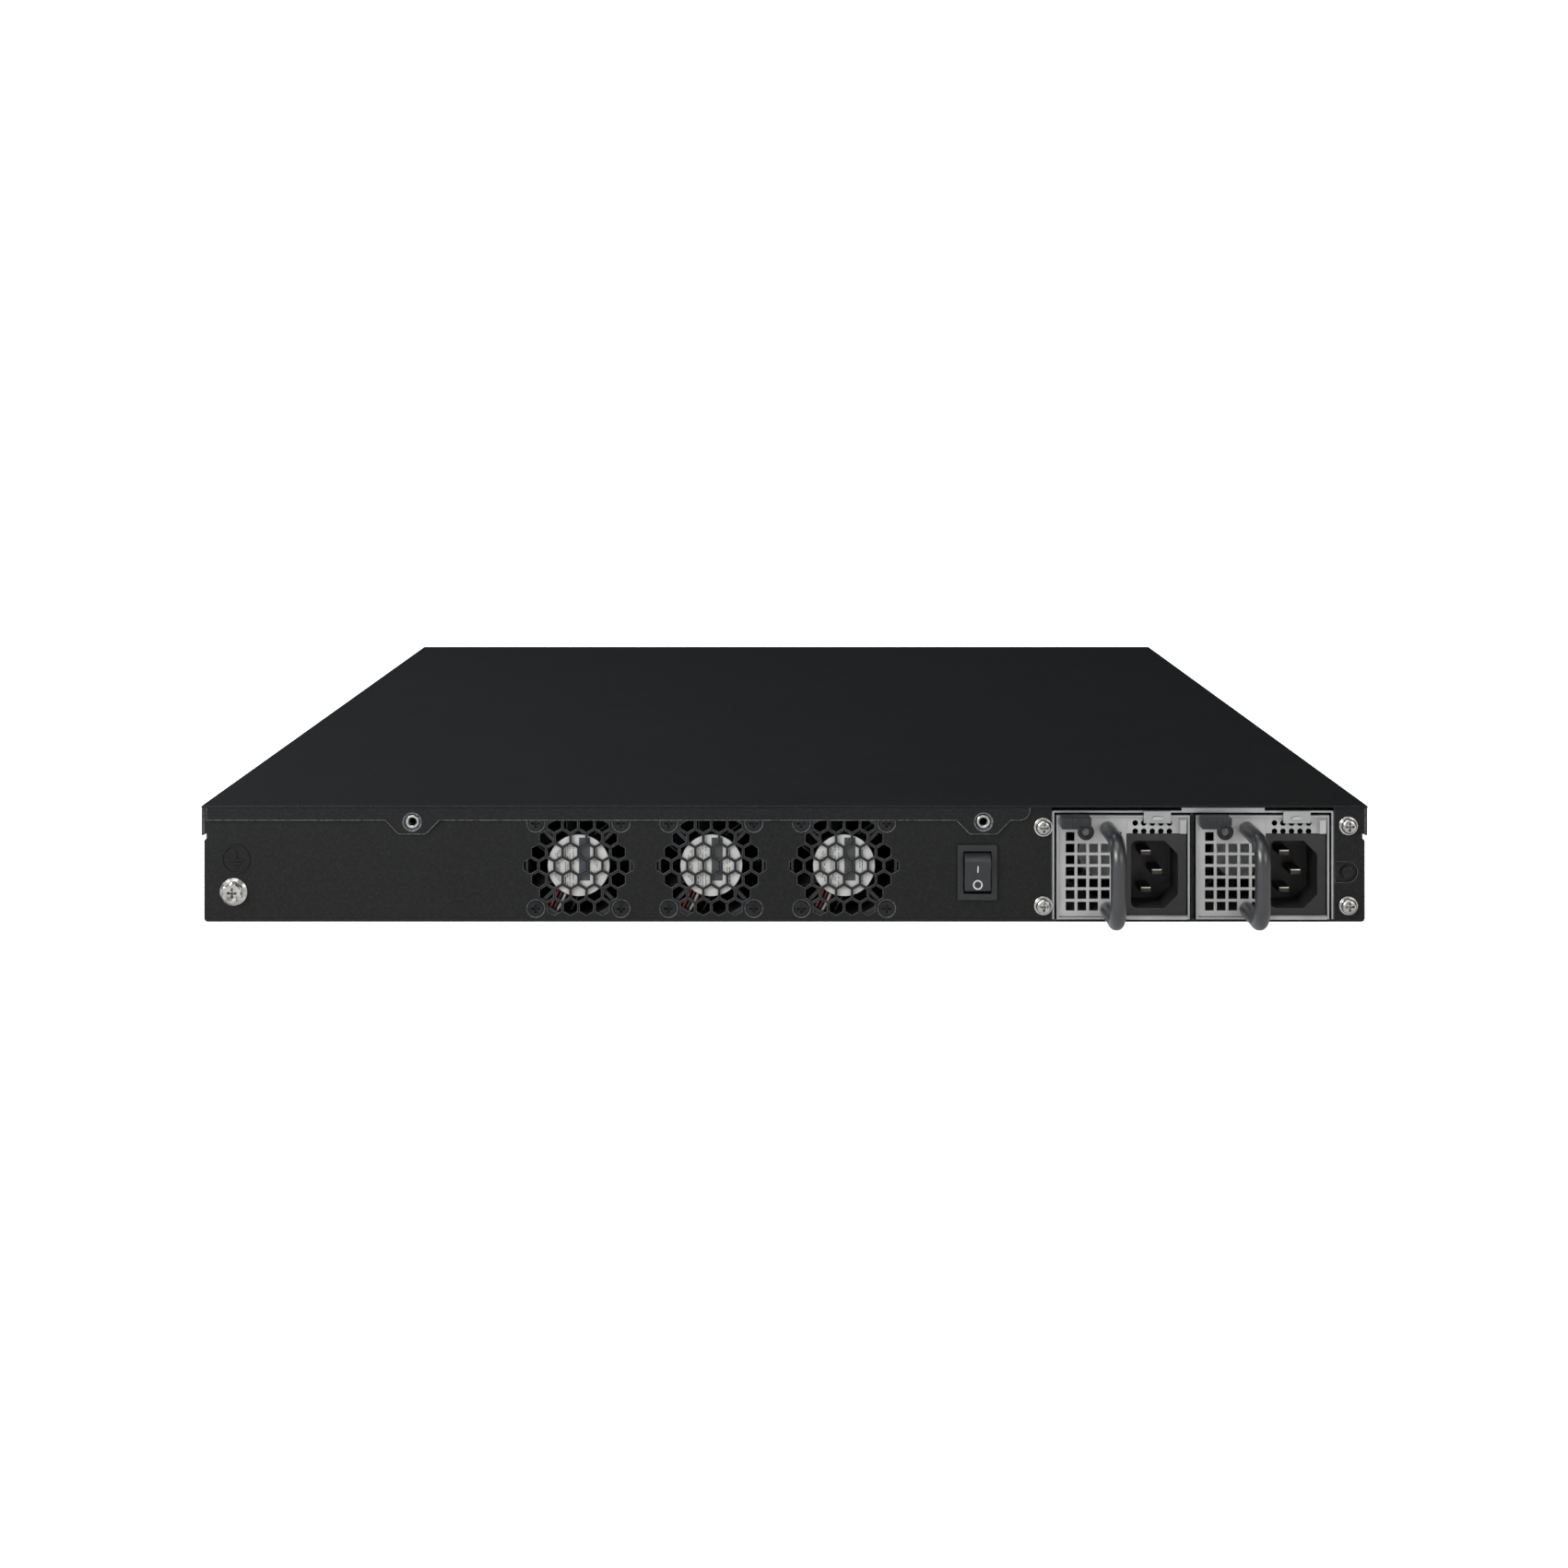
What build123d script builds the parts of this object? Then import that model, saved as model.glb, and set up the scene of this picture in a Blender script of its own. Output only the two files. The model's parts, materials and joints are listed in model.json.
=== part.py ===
"""One rack-unit network switch with three fans, a rocker switch and two pull-out power supplies.

Millimetres. +Z is up. +X is to the right of someone facing the fan and power-supply side, which
faces -Y; the port side faces +Y. The origin is the centre of the chassis' bottom face.
"""

from build123d import *
from math import sqrt
import os

# ---------------------------------------------------------------- driving dimensions
COVER_WIDTH = 438.0
HEIGHT = 44.0
DEPTH = 500.0
SHEET = 1.0

CHASSIS_WIDTH = COVER_WIDTH - 2 * SHEET
HALF_COVER = COVER_WIDTH / 2
HALF_CHASSIS = CHASSIS_WIDTH / 2
INNER_WALL = HALF_CHASSIS - SHEET
REAR = -DEPTH / 2
FRONT = DEPTH / 2
UNDER_COVER = HEIGHT - SHEET
FLOOR = SHEET

# cover
SIDE_FLANGE_Z = 32.5
REAR_FLANGE_Z = 38.2
REAR_FLANGE_X = (-217.0, 92.3)
FLANGE_CORNER_R = 4.0
TAB_X = (-139.7, 74.7)
TAB_HOLE_Z = 37.7
TAB_BOTTOM_Z = 33.0
TAB_HALF_TOP, TAB_HALF_BOTTOM = 10.2, 5.2
BEND_R = 0.9

# rear fans
FAN_X = (-77.4, -27.5, 22.4)
FAN_Z = 21.0
FAN_SIZE, FAN_DEPTH = 40.0, 28.0
FAN_HOLE_PITCH = 32.0
FAN_RIM = 1.0
FAN_BORE_R = FAN_SIZE / 2 - FAN_RIM
HUB_R = 11.4
SHAFT_R, SHAFT_GAP = 1.0, 0.05
STRUT, STRUT_W = 2.5, 1.4
HEX_ACROSS, HEX_PITCH = 5.0, 6.0
HEX_ROWS = 3

# rocker switch
ROCKER_X, ROCKER_Z = 72.4, 18.75
BEZEL_W, BEZEL_H, BEZEL_T = 14.9, 20.8, 1.2
POCKET_W, POCKET_H = 10.3, 15.8
ROCKER_W, ROCKER_R = 9.8, 7.45
ROCKER_TILT = 10.0

# ground point
GROUND_X, GROUND_Z = -206.8, 11.4

# power supplies and their cage
CAGE_X = (100.6, 206.2)
CAGE_TOP = 41.8
CAGE_SHEET = 0.8
CAGE_END = -56.0
CAGE_SCREWS = ((97.2, 35.7), (97.2, 6.2), (211.7, 36.2), (211.7, 6.2))
DIVIDER_X = (152.7, 153.8)
PSU_X = {"psu_a": 102.1, "psu_b": 154.4}
PSU_W, PSU_Z0, PSU_Z1, PSU_LENGTH = 50.0, 1.2, 40.2, 185.0
PSU_SHEET = 0.8
PSU_LIP = REAR - 1.0
PSU_FACE = REAR - 0.2
PSU_FAN_DEPTH, PSU_FAN_BORE_R, PSU_HUB_R = 20.0, 17.0, 10.4
GRILLE_HOLE, GRILLE_PITCH_X, GRILLE_PITCH_Z = 3.3, 4.4, 4.36

# ports and board
BOARD_Z, BOARD_T = 7.0, 1.6
BOARD_TOP = BOARD_Z + BOARD_T
JACK_PITCH, JACK_W, JACK_H, JACK_D = 14.0, 11.9, 8.6, 15.0
JACK_BLOCK_D = 22.0
JACK_BLOCK_H = 26.8
JACK_ROWS_Z = (BOARD_TOP + 7.0, BOARD_TOP + 19.8)
JACK_BLOCK_X = {"rj45_block_left": 105.0, "rj45_block_right": 40.0}
VENT_X, VENT_Z = (-118.0, -150.0, -182.0), 22.0
SFP_X = tuple(-20.0 - 15.0 * n for n in range(4))
SFP_W, SFP_H, SFP_D, SFP_SHEET = 14.3, 9.9, 48.0, 0.4
CONSOLE_X, CONSOLE_H = 180.0, 13.0
LIGHT_X = 203.0
LIGHT_Z = tuple(BOARD_TOP + 3.0 + 5.0 * n for n in range(4))


# ---------------------------------------------------------------- helpers
def block(x0, x1, y0, y1, z0, z1):
    """A box between two corners."""
    size = (abs(x1 - x0), abs(y1 - y0), abs(z1 - z0))
    return Pos((x0 + x1) / 2, (y0 + y1) / 2, (z0 + z1) / 2) * Box(*size)


def rod_y(x, z, radius, y0, y1, tip_radius=None):
    """A cylinder, or a cone, along Y from y0 to y1."""
    length = y1 - y0
    turned = Location((x, (y0 + y1) / 2, z), (-90, 0, 0))
    if tip_radius is None:
        return turned * Cylinder(radius, length)
    return turned * Cone(radius, tip_radius, length)


def rod_x(y, z, radius, x0, x1, tip_radius=None):
    """A cylinder, or a cone, along X from x0 to x1."""
    length = abs(x1 - x0)
    turn = 90 if x1 > x0 else -90
    turned = Location(((x0 + x1) / 2, y, z), (0, turn, 0))
    if tip_radius is None:
        return turned * Cylinder(radius, length)
    return turned * Cone(radius, tip_radius, length)


def sheet_y(outline, y0, thickness):
    """A flat outline in X and Z made a sheet from y0 towards +Y."""
    plane = Plane(origin=(0, y0, 0), x_dir=(1, 0, 0), z_dir=(0, -1, 0))
    return extrude(plane * outline, amount=-thickness)


def profile_x(outline, x0, x1):
    """A flat outline in Y and Z made a bar from x0 to x1."""
    plane = Plane(origin=(x0, 0, 0), x_dir=(0, 1, 0), z_dir=(1, 0, 0))
    return extrude(plane * outline, amount=x1 - x0)


def polygon(*points):
    """A closed flat outline through the points."""
    return make_face(Polyline(*points, close=True))


def rectangle(x0, x1, z0, z1):
    """A flat rectangle between two corners."""
    return Pos((x0 + x1) / 2, (z0 + z1) / 2) * Rectangle(abs(x1 - x0), abs(z1 - z0))


def cross_recess(x, z, span, y0, depth):
    """The cross-shaped driver recess of a screw whose head faces -Y."""
    slot = span / 4
    across = block(x - span / 2, x + span / 2, y0, y0 + depth, z - slot / 2, z + slot / 2)
    upright = block(x - slot / 2, x + slot / 2, y0, y0 + depth, z - span / 2, z + span / 2)
    return across + upright


def save(node, shape):
    """Write one node."""
    export_step(shape, f"parts/{node}.step")


def save_group(node, solids):
    """Write separate like pieces as one node."""
    export_step(Compound(children=list(solids)), f"parts/{node}.step")


os.makedirs("parts", exist_ok=True)

# ---------------------------------------------------------------- casing
SIDE_SPAN = (210.0, 222.0)
COVER_SCREW_Y = (-200.0, 0.0, 200.0)
COVER_SCREW_Z = 37.5
FRONT_SCREW_Y, FRONT_SCREW_Z = FRONT - 7.0, (9.0, 27.0)
CASE_SCREW_R, CASE_HEAD_R = 1.5, 2.8
EAR_Y, EAR_Z = (FRONT - 62.0, FRONT - 24.0), (10.0, 26.0)
EAR_HOLE_R = 2.0
EAR_NUT_R, EAR_NUT_T = 3.6, 2.5
STANDOFF_XY = [(x, y) for x in (-190.0, -60.0, 80.0) for y in (-190.0, -20.0, 190.0)]
STANDOFF_XY += [(198.0, -20.0), (198.0, 190.0)]
NOTCH = ((218.0, 33.0), (216.8, 33.0), (216.8, 31.8), (218.0, 30.5))


def side_holes(side, points, radius):
    """Round holes through one side wall and cover flange."""
    inside, outside = SIDE_SPAN
    return [rod_x(y, z, radius, side * inside, side * outside) for y, z in points]


def chassis_base():
    """The floor and two side walls, folded from one sheet."""
    y0, y1 = REAR + SHEET, FRONT - SHEET
    shape = block(-HALF_CHASSIS, HALF_CHASSIS, y0, y1, 0, FLOOR)
    cover_holes = [(y, COVER_SCREW_Z) for y in COVER_SCREW_Y]
    front_holes = [(FRONT_SCREW_Y, z) for z in FRONT_SCREW_Z]
    ear_holes = [(y, z) for y in EAR_Y for z in EAR_Z]
    for side in (-1, 1):
        wall = block(side * INNER_WALL, side * HALF_CHASSIS, y0, y1, FLOOR, UNDER_COVER)
        shape = shape + wall
    for side in (-1, 1):
        shape -= side_holes(side, cover_holes + front_holes, CASE_SCREW_R + 0.1)
        shape -= side_holes(side, ear_holes, EAR_HOLE_R)
        shape -= [countersink(side, HALF_CHASSIS, y, z) for y, z in front_holes]
        relief = polygon(*[(side * x, z) for x, z in NOTCH])
        shape -= sheet_y(relief, y0, 2.0)
    return shape


def countersink(side, face, y, z):
    """A cone cut into a side face for a flush screw head."""
    return rod_x(y, z, CASE_HEAD_R + 0.1, side * face, side * (face - SHEET), CASE_SCREW_R + 0.1)


def panel_outline():
    """The outline of the rear panel, with its small corner reliefs."""
    outline = rectangle(-HALF_CHASSIS, HALF_CHASSIS, 0, UNDER_COVER)
    for side in (-1, 1):
        outline -= polygon(*[(side * x, z) for x, z in NOTCH])
        corner = HALF_CHASSIS - SHEET
        outline -= polygon((side * corner, 0), (side * HALF_CHASSIS, 0), (side * HALF_CHASSIS, SHEET))
    return outline


def hex_field(x, z, rings):
    """A hexagon-shaped field of pointed-top hexagonal vent holes."""
    row_step = HEX_PITCH * sqrt(3) / 2
    holes = []
    for row in range(-rings, rings + 1):
        count = 2 * rings + 1 - abs(row)
        for n in range(count):
            place = (x + (n - (count - 1) / 2) * HEX_PITCH, z + row * row_step)
            hexagon = RegularPolygon(HEX_ACROSS / 2, 6, major_radius=False, rotation=30)
            holes.append(Pos(*place) * hexagon)
    return holes


def fan_hole_places(x, z, pitch=FAN_HOLE_PITCH):
    """The four screw places of a fan."""
    half = pitch / 2
    return [(x + sx * half, z + sz * half) for sx in (-1, 1) for sz in (-1, 1)]


BAY_GAP = 0.15
STUD_X, STUD_Z = 211.4, 18.7
STUD_SLOT_X, STUD_SLOT_HALF = 206.9, 3.8
FAN_DIMPLE_R, SCREW_CLEAR_R = 3.3, 1.7
GROUND_CLEAR_R = 2.2
INSERT_R, INSERT_BORE_R = 2.55, 1.45


def rear_panel():
    """The flat rear wall with its vents, openings and screw holes."""
    outline = panel_outline()
    for x in FAN_X:
        outline -= hex_field(x, FAN_Z, HEX_ROWS)
        outline -= [Pos(*place) * Circle(SCREW_CLEAR_R) for place in fan_hole_places(x, FAN_Z)]
    outline -= rectangle(CAGE_X[0] - BAY_GAP, CAGE_X[1] + BAY_GAP, SHEET, UNDER_COVER)
    outline -= Pos(ROCKER_X, ROCKER_Z) * Rectangle(BEZEL_W - 1.9, BEZEL_H - 1.9)
    outline -= Pos(GROUND_X, GROUND_Z) * Circle(GROUND_CLEAR_R)
    outline -= [Pos(x, z) * Circle(SCREW_CLEAR_R) for x, z in CAGE_SCREWS]
    outline -= [Pos(x, TAB_HOLE_Z) * Circle(INSERT_R) for x in TAB_X]
    slot = rectangle(STUD_SLOT_X, STUD_X, STUD_Z - STUD_SLOT_HALF, STUD_Z + STUD_SLOT_HALF)
    outline -= slot + Pos(STUD_X, STUD_Z) * Circle(STUD_SLOT_HALF)
    panel = sheet_y(outline, REAR, SHEET)
    for x in FAN_X:
        panel -= [
            rod_y(px, pz, FAN_DIMPLE_R, REAR, REAR + SHEET, SCREW_CLEAR_R)
            for px, pz in fan_hole_places(x, FAN_Z)
        ]
    return panel


def top_cover():
    """The lid: top sheet, side flanges and a rear flange with two screw tabs."""
    back = REAR - SHEET
    shape = block(-HALF_COVER, HALF_COVER, back, FRONT, UNDER_COVER, HEIGHT)
    for side in (-1, 1):
        flange = (side * HALF_CHASSIS, side * HALF_COVER, REAR, FRONT - SHEET)
        shape += block(*flange, SIDE_FLANGE_Z, UNDER_COVER)
    outline = rectangle(*REAR_FLANGE_X, REAR_FLANGE_Z, UNDER_COVER)
    corner = outline.vertices().filter_by(lambda v: v.X > 0 and v.Y < REAR_FLANGE_Z + 0.1)
    outline = fillet(corner, FLANGE_CORNER_R)
    for x in TAB_X:
        tab = polygon(
            (x - TAB_HALF_TOP, REAR_FLANGE_Z + 0.5),
            (x - TAB_HALF_TOP, REAR_FLANGE_Z),
            (x - TAB_HALF_BOTTOM, TAB_BOTTOM_Z),
            (x + TAB_HALF_BOTTOM, TAB_BOTTOM_Z),
            (x + TAB_HALF_TOP, REAR_FLANGE_Z),
            (x + TAB_HALF_TOP, REAR_FLANGE_Z + 0.5),
        )
        low = tab.vertices().filter_by(lambda v: v.Y < TAB_BOTTOM_Z + 0.1)
        outline += fillet(low, 2.5)
        outline -= Pos(x, TAB_HOLE_Z) * Circle(INSERT_R + 0.25)
    shape += sheet_y(outline, back, SHEET)
    for x in TAB_X:
        shape -= rod_y(x, TAB_HOLE_Z, 3.3, back, back + 0.55, INSERT_R + 0.25)
    holes = [(y, COVER_SCREW_Z) for y in COVER_SCREW_Y]
    for side in (-1, 1):
        shape -= side_holes(side, holes, CASE_SCREW_R + 0.1)
        shape -= [countersink(side, HALF_COVER, y, z) for y, z in holes]
    top = shape.edges().group_by(Axis.Z)[-1]
    long_sides = top.filter_by(Axis.Y)
    rear_edge = top.filter_by(Axis.X).sort_by(Axis.Y)[0]
    return fillet(long_sides + [rear_edge], BEND_R)


def front_panel():
    """The port-side wall, with two return flanges that hold it between the side walls."""
    outline = rectangle(-HALF_CHASSIS, HALF_CHASSIS, 0, UNDER_COVER)
    middle = BOARD_TOP + JACK_BLOCK_H / 2
    for x in JACK_BLOCK_X.values():
        outline -= Pos(x, middle) * Rectangle(4 * JACK_PITCH + 0.4, JACK_BLOCK_H + 0.4)
    for x in SFP_X:
        outline -= Pos(x, BOARD_TOP + SFP_H / 2) * Rectangle(SFP_W + 0.2, SFP_H + 0.2)
    middle = BOARD_TOP + CONSOLE_H / 2
    outline -= Pos(CONSOLE_X, middle) * Rectangle(JACK_PITCH + 0.4, CONSOLE_H + 0.4)
    outline -= [Pos(LIGHT_X, z) * Circle(1.5) for z in LIGHT_Z]
    outline -= [hole for x in VENT_X for hole in hex_field(x, VENT_Z, 2)]
    panel = sheet_y(outline, FRONT - SHEET, SHEET)
    for side in (-1, 1):
        limits = (side * (INNER_WALL - SHEET), side * INNER_WALL, FRONT - 13.0, FRONT - SHEET)
        panel += block(*limits, 2.0, UNDER_COVER - 3.0)
        holes = [(FRONT_SCREW_Y, z) for z in FRONT_SCREW_Z]
        panel -= side_holes(side, holes, CASE_SCREW_R + 0.1)
    return panel


def side_screw(side, face, y, z):
    """A countersunk screw driven in from one side."""
    head = rod_x(y, z, CASE_HEAD_R, side * face, side * (face - SHEET), CASE_SCREW_R)
    shank = rod_x(y, z, CASE_SCREW_R, side * face, side * (face - 7.0))
    screw = head + shank
    slot = CASE_HEAD_R * 0.55
    limits = (side * (face - 0.8), side * face)
    screw -= block(*limits, y - slot, y + slot, z - slot / 4, z + slot / 4)
    screw -= block(*limits, y - slot / 4, y + slot / 4, z - slot, z + slot)
    return screw


def case_screws():
    """Six screws hold the cover and four the front panel."""
    screws = []
    for side in (-1, 1):
        screws += [side_screw(side, HALF_COVER, y, COVER_SCREW_Z) for y in COVER_SCREW_Y]
        screws += [side_screw(side, HALF_CHASSIS, FRONT_SCREW_Y, z) for z in FRONT_SCREW_Z]
    return screws


def clinch_nuts():
    """Eight nuts behind the rack-ear holes and one behind the ground screw."""
    nuts = []
    for side in (-1, 1):
        for y in EAR_Y:
            for z in EAR_Z:
                nut = rod_x(y, z, EAR_NUT_R, side * INNER_WALL, side * (INNER_WALL - EAR_NUT_T))
                nuts.append(nut - rod_x(y, z, EAR_HOLE_R, side * SIDE_SPAN[0], side * HALF_CHASSIS))
    nut = rod_y(GROUND_X, GROUND_Z, 4.2, REAR + SHEET, REAR + SHEET + 3.0)
    nuts.append(nut - rod_y(GROUND_X, GROUND_Z, 2.05, REAR, REAR + 6.0))
    return nuts


def cover_inserts():
    """Two threaded bushes pressed into the rear panel, seen through the cover's tabs."""
    bushes = []
    for x in TAB_X:
        bush = rod_y(x, TAB_HOLE_Z, INSERT_R, REAR - 0.7, REAR + SHEET)
        bush += rod_y(x, TAB_HOLE_Z, 3.2, REAR + SHEET, REAR + SHEET + 3.5)
        bushes.append(bush - rod_y(x, TAB_HOLE_Z, INSERT_BORE_R, REAR - 2.0, REAR + 6.0))
    return bushes


def ground_screw():
    """A hexagon-flange screw with a cross recess, for the protective earth."""
    seat = REAR
    flange = rod_y(GROUND_X, GROUND_Z, 4.2, seat - 1.3, seat, 5.2)
    head = sheet_y(Pos(GROUND_X, GROUND_Z) * RegularPolygon(3.5, 6, major_radius=False), seat - 3.2, 2.2)
    shank = rod_y(GROUND_X, GROUND_Z, 2.0, seat, seat + 7.0)
    return flange + head + shank - cross_recess(GROUND_X, GROUND_Z, 3.4, seat - 3.2, 1.6)


save("chassis_base", chassis_base())
save("rear_panel", rear_panel())
save("top_cover", top_cover())
save("front_panel", front_panel())
save_group("case_screws", case_screws())
save_group("clinch_nuts", clinch_nuts())
save_group("cover_inserts", cover_inserts())
save("ground_screw", ground_screw())


# ---------------------------------------------------------------- fans
def fan_frame(x, z, y0, depth, bore_r, hub_r):
    """Square frame with a round bore, four struts, and the motor base with its bearing."""
    half = bore_r + FAN_RIM
    frame = block(x - half, x + half, y0, y0 + depth, z - half, z + half)
    upright = frame.edges().filter_by(Axis.Y)
    frame = fillet(upright, 2.5) - rod_y(x, z, bore_r, y0, y0 + depth)
    places = fan_hole_places(x, z, 2 * half - 8.0)
    frame -= [rod_y(px, pz, 1.6, y0, y0 + depth) for px, pz in places]
    for turn in (45, 135):
        strut = Rot(0, turn, 0) * Box(2 * bore_r + 1.0, STRUT, STRUT_W)
        frame += Pos(x, y0 + STRUT / 2 + 0.3, z) * strut
    frame += rod_y(x, z, hub_r + 0.4, y0 + 0.3, y0 + 0.3 + STRUT)
    frame += rod_y(x, z, hub_r - 3.4, y0 + STRUT, y0 + depth - 7.0)
    return frame - rod_y(x, z, SHAFT_R + SHAFT_GAP, y0 + 1.2, y0 + depth)


def fan_blade(hub_r, tip_r, length):
    """One curved blade about the Y axis, from the hub's skin out to the tip."""
    sweep_x = 5.2
    arc = ThreePointArc((-sweep_x, 0), (-0.2, length * 0.42), (sweep_x, length))
    back = ThreePointArc((sweep_x + 0.9, length), (0.9, length * 0.40), (-sweep_x + 0.5, 0))
    ends = Line(arc @ 1, back @ 0) + Line(back @ 1, arc @ 0)
    outline = make_face(Curve() + [arc, back] + ends.edges())
    plane = Plane(origin=(0, 0, hub_r - 0.8), x_dir=(1, 0, 0), z_dir=(0, 0, 1))
    blade = extrude(plane * outline, amount=tip_r - hub_r + 3.0)
    ring = rod_y(0, 0, tip_r, -1, length + 1) - rod_y(0, 0, hub_r - 0.5, -1, length + 1)
    return blade & ring


def fan_rotor(x, z, y0, depth, bore_r, hub_r):
    """Hub cup, shaft and seven blades."""
    back, tip = y0 + STRUT + 1.3, y0 + depth - 1.0
    cup = rod_y(x, z, hub_r, back, tip) - rod_y(x, z, hub_r - 1.6, back, tip - 1.6)
    rotor = cup + rod_y(x, z, SHAFT_R, y0 + 1.6, tip - 1.0)
    blade = fan_blade(hub_r, bore_r - 0.7, tip - back - 2.0)
    for n in range(7):
        rotor += Pos(x, back + 1.0, z) * (Rot(0, n * 360 / 7, 0) * blade)
    return rotor


def fan_screw(x, z):
    """A flush countersunk screw into a fan's corner."""
    head = rod_y(x, z, 2.75, REAR + 0.05, REAR + SHEET, 1.5)
    shank = rod_y(x, z, 1.5, REAR + 0.5, REAR + 10.0)
    return head + shank - cross_recess(x, z, 3.2, REAR, 0.8)


LEAD_R = 1.1
LEAD_OUT, LEAD_Z, HEADER_Z = -192.0, 22.0, BOARD_TOP + 5.0


def fan_lead(x):
    """The three-wire lead from a fan's inner corner down to its header on the board."""
    start = REAR + SHEET + FAN_DEPTH
    points = ((x, start, LEAD_Z), (x, LEAD_OUT, LEAD_Z), (x, LEAD_OUT, HEADER_Z))
    path = FilletPolyline(*points, radius=6.0)
    section = Plane(origin=path @ 0, z_dir=path % 0) * Circle(LEAD_R)
    return sweep(section, path=path)


LEAD_X = tuple(x - FAN_SIZE / 2 + 1.2 for x in FAN_X)
for number, fan_x in enumerate(FAN_X, start=1):
    place = (fan_x, FAN_Z, REAR + SHEET, FAN_DEPTH, FAN_BORE_R, HUB_R)
    save(f"fan_{number}_frame", fan_frame(*place))
    save(f"fan_{number}_rotor", fan_rotor(*place))
save_group("fan_screws", [fan_screw(*place) for x in FAN_X for place in fan_hole_places(x, FAN_Z)])
save_group("fan_leads", [fan_lead(x) for x in LEAD_X])


# ---------------------------------------------------------------- rocker switch
PIVOT_Y = REAR + 1.0
SWITCH_BODY_D = 14.0
PIVOT_PIN_R, PIVOT_PIN_OUT = 0.8, 0.7


def rocker_housing():
    """Bezel and body in one moulding, hollow around the rocker."""
    bezel = Pos(ROCKER_X, ROCKER_Z) * RectangleRounded(BEZEL_W, BEZEL_H, 0.6)
    shape = sheet_y(bezel, REAR - BEZEL_T, BEZEL_T)
    body_w, body_h = BEZEL_W - 2.1, BEZEL_H - 2.1
    body = Pos(ROCKER_X, ROCKER_Z) * Rectangle(body_w, body_h)
    shape += sheet_y(body, REAR, SWITCH_BODY_D)
    pocket = Pos(ROCKER_X, ROCKER_Z) * Rectangle(POCKET_W, POCKET_H)
    shape -= sheet_y(pocket, REAR - BEZEL_T, BEZEL_T + 6.5)
    reach = ROCKER_W / 2 + PIVOT_PIN_OUT + 0.3
    shape -= rod_x(PIVOT_Y, ROCKER_Z, PIVOT_PIN_R + 0.05, ROCKER_X - reach, ROCKER_X + reach)
    return shape


def rocker_button():
    """The rocker, with the lower half pressed in: a dished front between two round ends."""
    front, dish, rear = -5.0, -3.6, 2.6
    high = sqrt(ROCKER_R**2 - front**2)
    low = sqrt(ROCKER_R**2 - rear**2)
    top = ThreePointArc((front, high), (0, ROCKER_R), (rear, low))
    bottom = ThreePointArc((rear, -low), (0, -ROCKER_R), (front, -high))
    lines = Line(top @ 1, bottom @ 0) + Line(bottom @ 1, (dish, 0)) + Line((dish, 0), top @ 0)
    outline = make_face(Curve() + [top, bottom] + lines.edges())
    half = ROCKER_W / 2
    reach = half + PIVOT_PIN_OUT
    button = profile_x(outline, -half, half) + rod_x(0, 0, PIVOT_PIN_R, -reach, reach)
    return Pos(ROCKER_X, PIVOT_Y, ROCKER_Z) * (Rot(ROCKER_TILT, 0, 0) * button)


def rocker_terminals():
    """Three blade terminals behind the switch body."""
    back = REAR + SWITCH_BODY_D
    return [
        block(ROCKER_X - 2.4, ROCKER_X + 2.4, back, back + 8.0, z - 0.4, z + 0.4)
        for z in (ROCKER_Z - 7.0, ROCKER_Z, ROCKER_Z + 7.0)
    ]


save("rocker_housing", rocker_housing())
save("rocker_button", rocker_button())
save_group("rocker_terminals", rocker_terminals())


# ---------------------------------------------------------------- power-supply cage
EAR_HALF_H = 4.6
BRIDGE_X = (149.2, 180.4)
SOCKET_HALF_W, SOCKET_D = 16.0, 6.0
PSU_BOARD_Z = 5.0


def psu_cage():
    """Two walls and a top in one folded sheet, with ears for the four rear screws."""
    x0, x1 = CAGE_X
    inner = CAGE_TOP - CAGE_SHEET
    cage = block(x0, x1, REAR, CAGE_END, inner, CAGE_TOP)
    cage += block(x0, x0 + CAGE_SHEET, REAR, CAGE_END, FLOOR, CAGE_TOP)
    cage += block(x1 - CAGE_SHEET, x1, REAR, CAGE_END, FLOOR, CAGE_TOP)
    long_edges = cage.edges().filter_by(Axis.Y).group_by(Axis.Z)[-1]
    cage = fillet(long_edges, 0.7)
    cage += block(*BRIDGE_X, REAR, REAR + 12.0, CAGE_TOP - 0.1, UNDER_COVER)
    for x, z in CAGE_SCREWS:
        outer = x - 4.0 if x < x0 else x + 4.0
        wall = x0 + 0.1 if x < x0 else x1 - 0.1
        y0 = REAR + SHEET
        cage += block(outer, wall, y0, y0 + CAGE_SHEET, z - EAR_HALF_H, z + EAR_HALF_H)
        cage -= rod_y(x, z, 1.55, REAR, REAR + 4.0)
    return cage


def cage_screw(x, z):
    """A domed screw with its captive washer."""
    washer = rod_y(x, z, 3.5, REAR - 0.8, REAR)
    dome = rod_y(x, z, 2.1, REAR - 2.9, REAR - 1.9, 2.9) + rod_y(x, z, 2.9, REAR - 1.9, REAR - 0.8)
    shank = rod_y(x, z, 1.5, REAR, REAR + 5.0)
    return washer + dome + shank - cross_recess(x, z, 3.2, REAR - 3.0, 1.5)


def locating_stud():
    """A dark plug behind the slot beside the second supply, with a round nose."""
    plate = block(206.5, 216.4, REAR + SHEET, REAR + SHEET + 1.0, STUD_Z - 5.4, STUD_Z + 5.4)
    return plate + rod_y(STUD_X, STUD_Z, 2.3, REAR - 0.3, REAR + SHEET)


def psu_backplane():
    """The board that the two supplies plug into."""
    x0, x1 = CAGE_X
    limits = (x0 + CAGE_SHEET + 0.2, x1 - CAGE_SHEET - 0.2, CAGE_END - 2.0, CAGE_END - 0.4)
    return block(*limits, FLOOR, 38.0)


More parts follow.
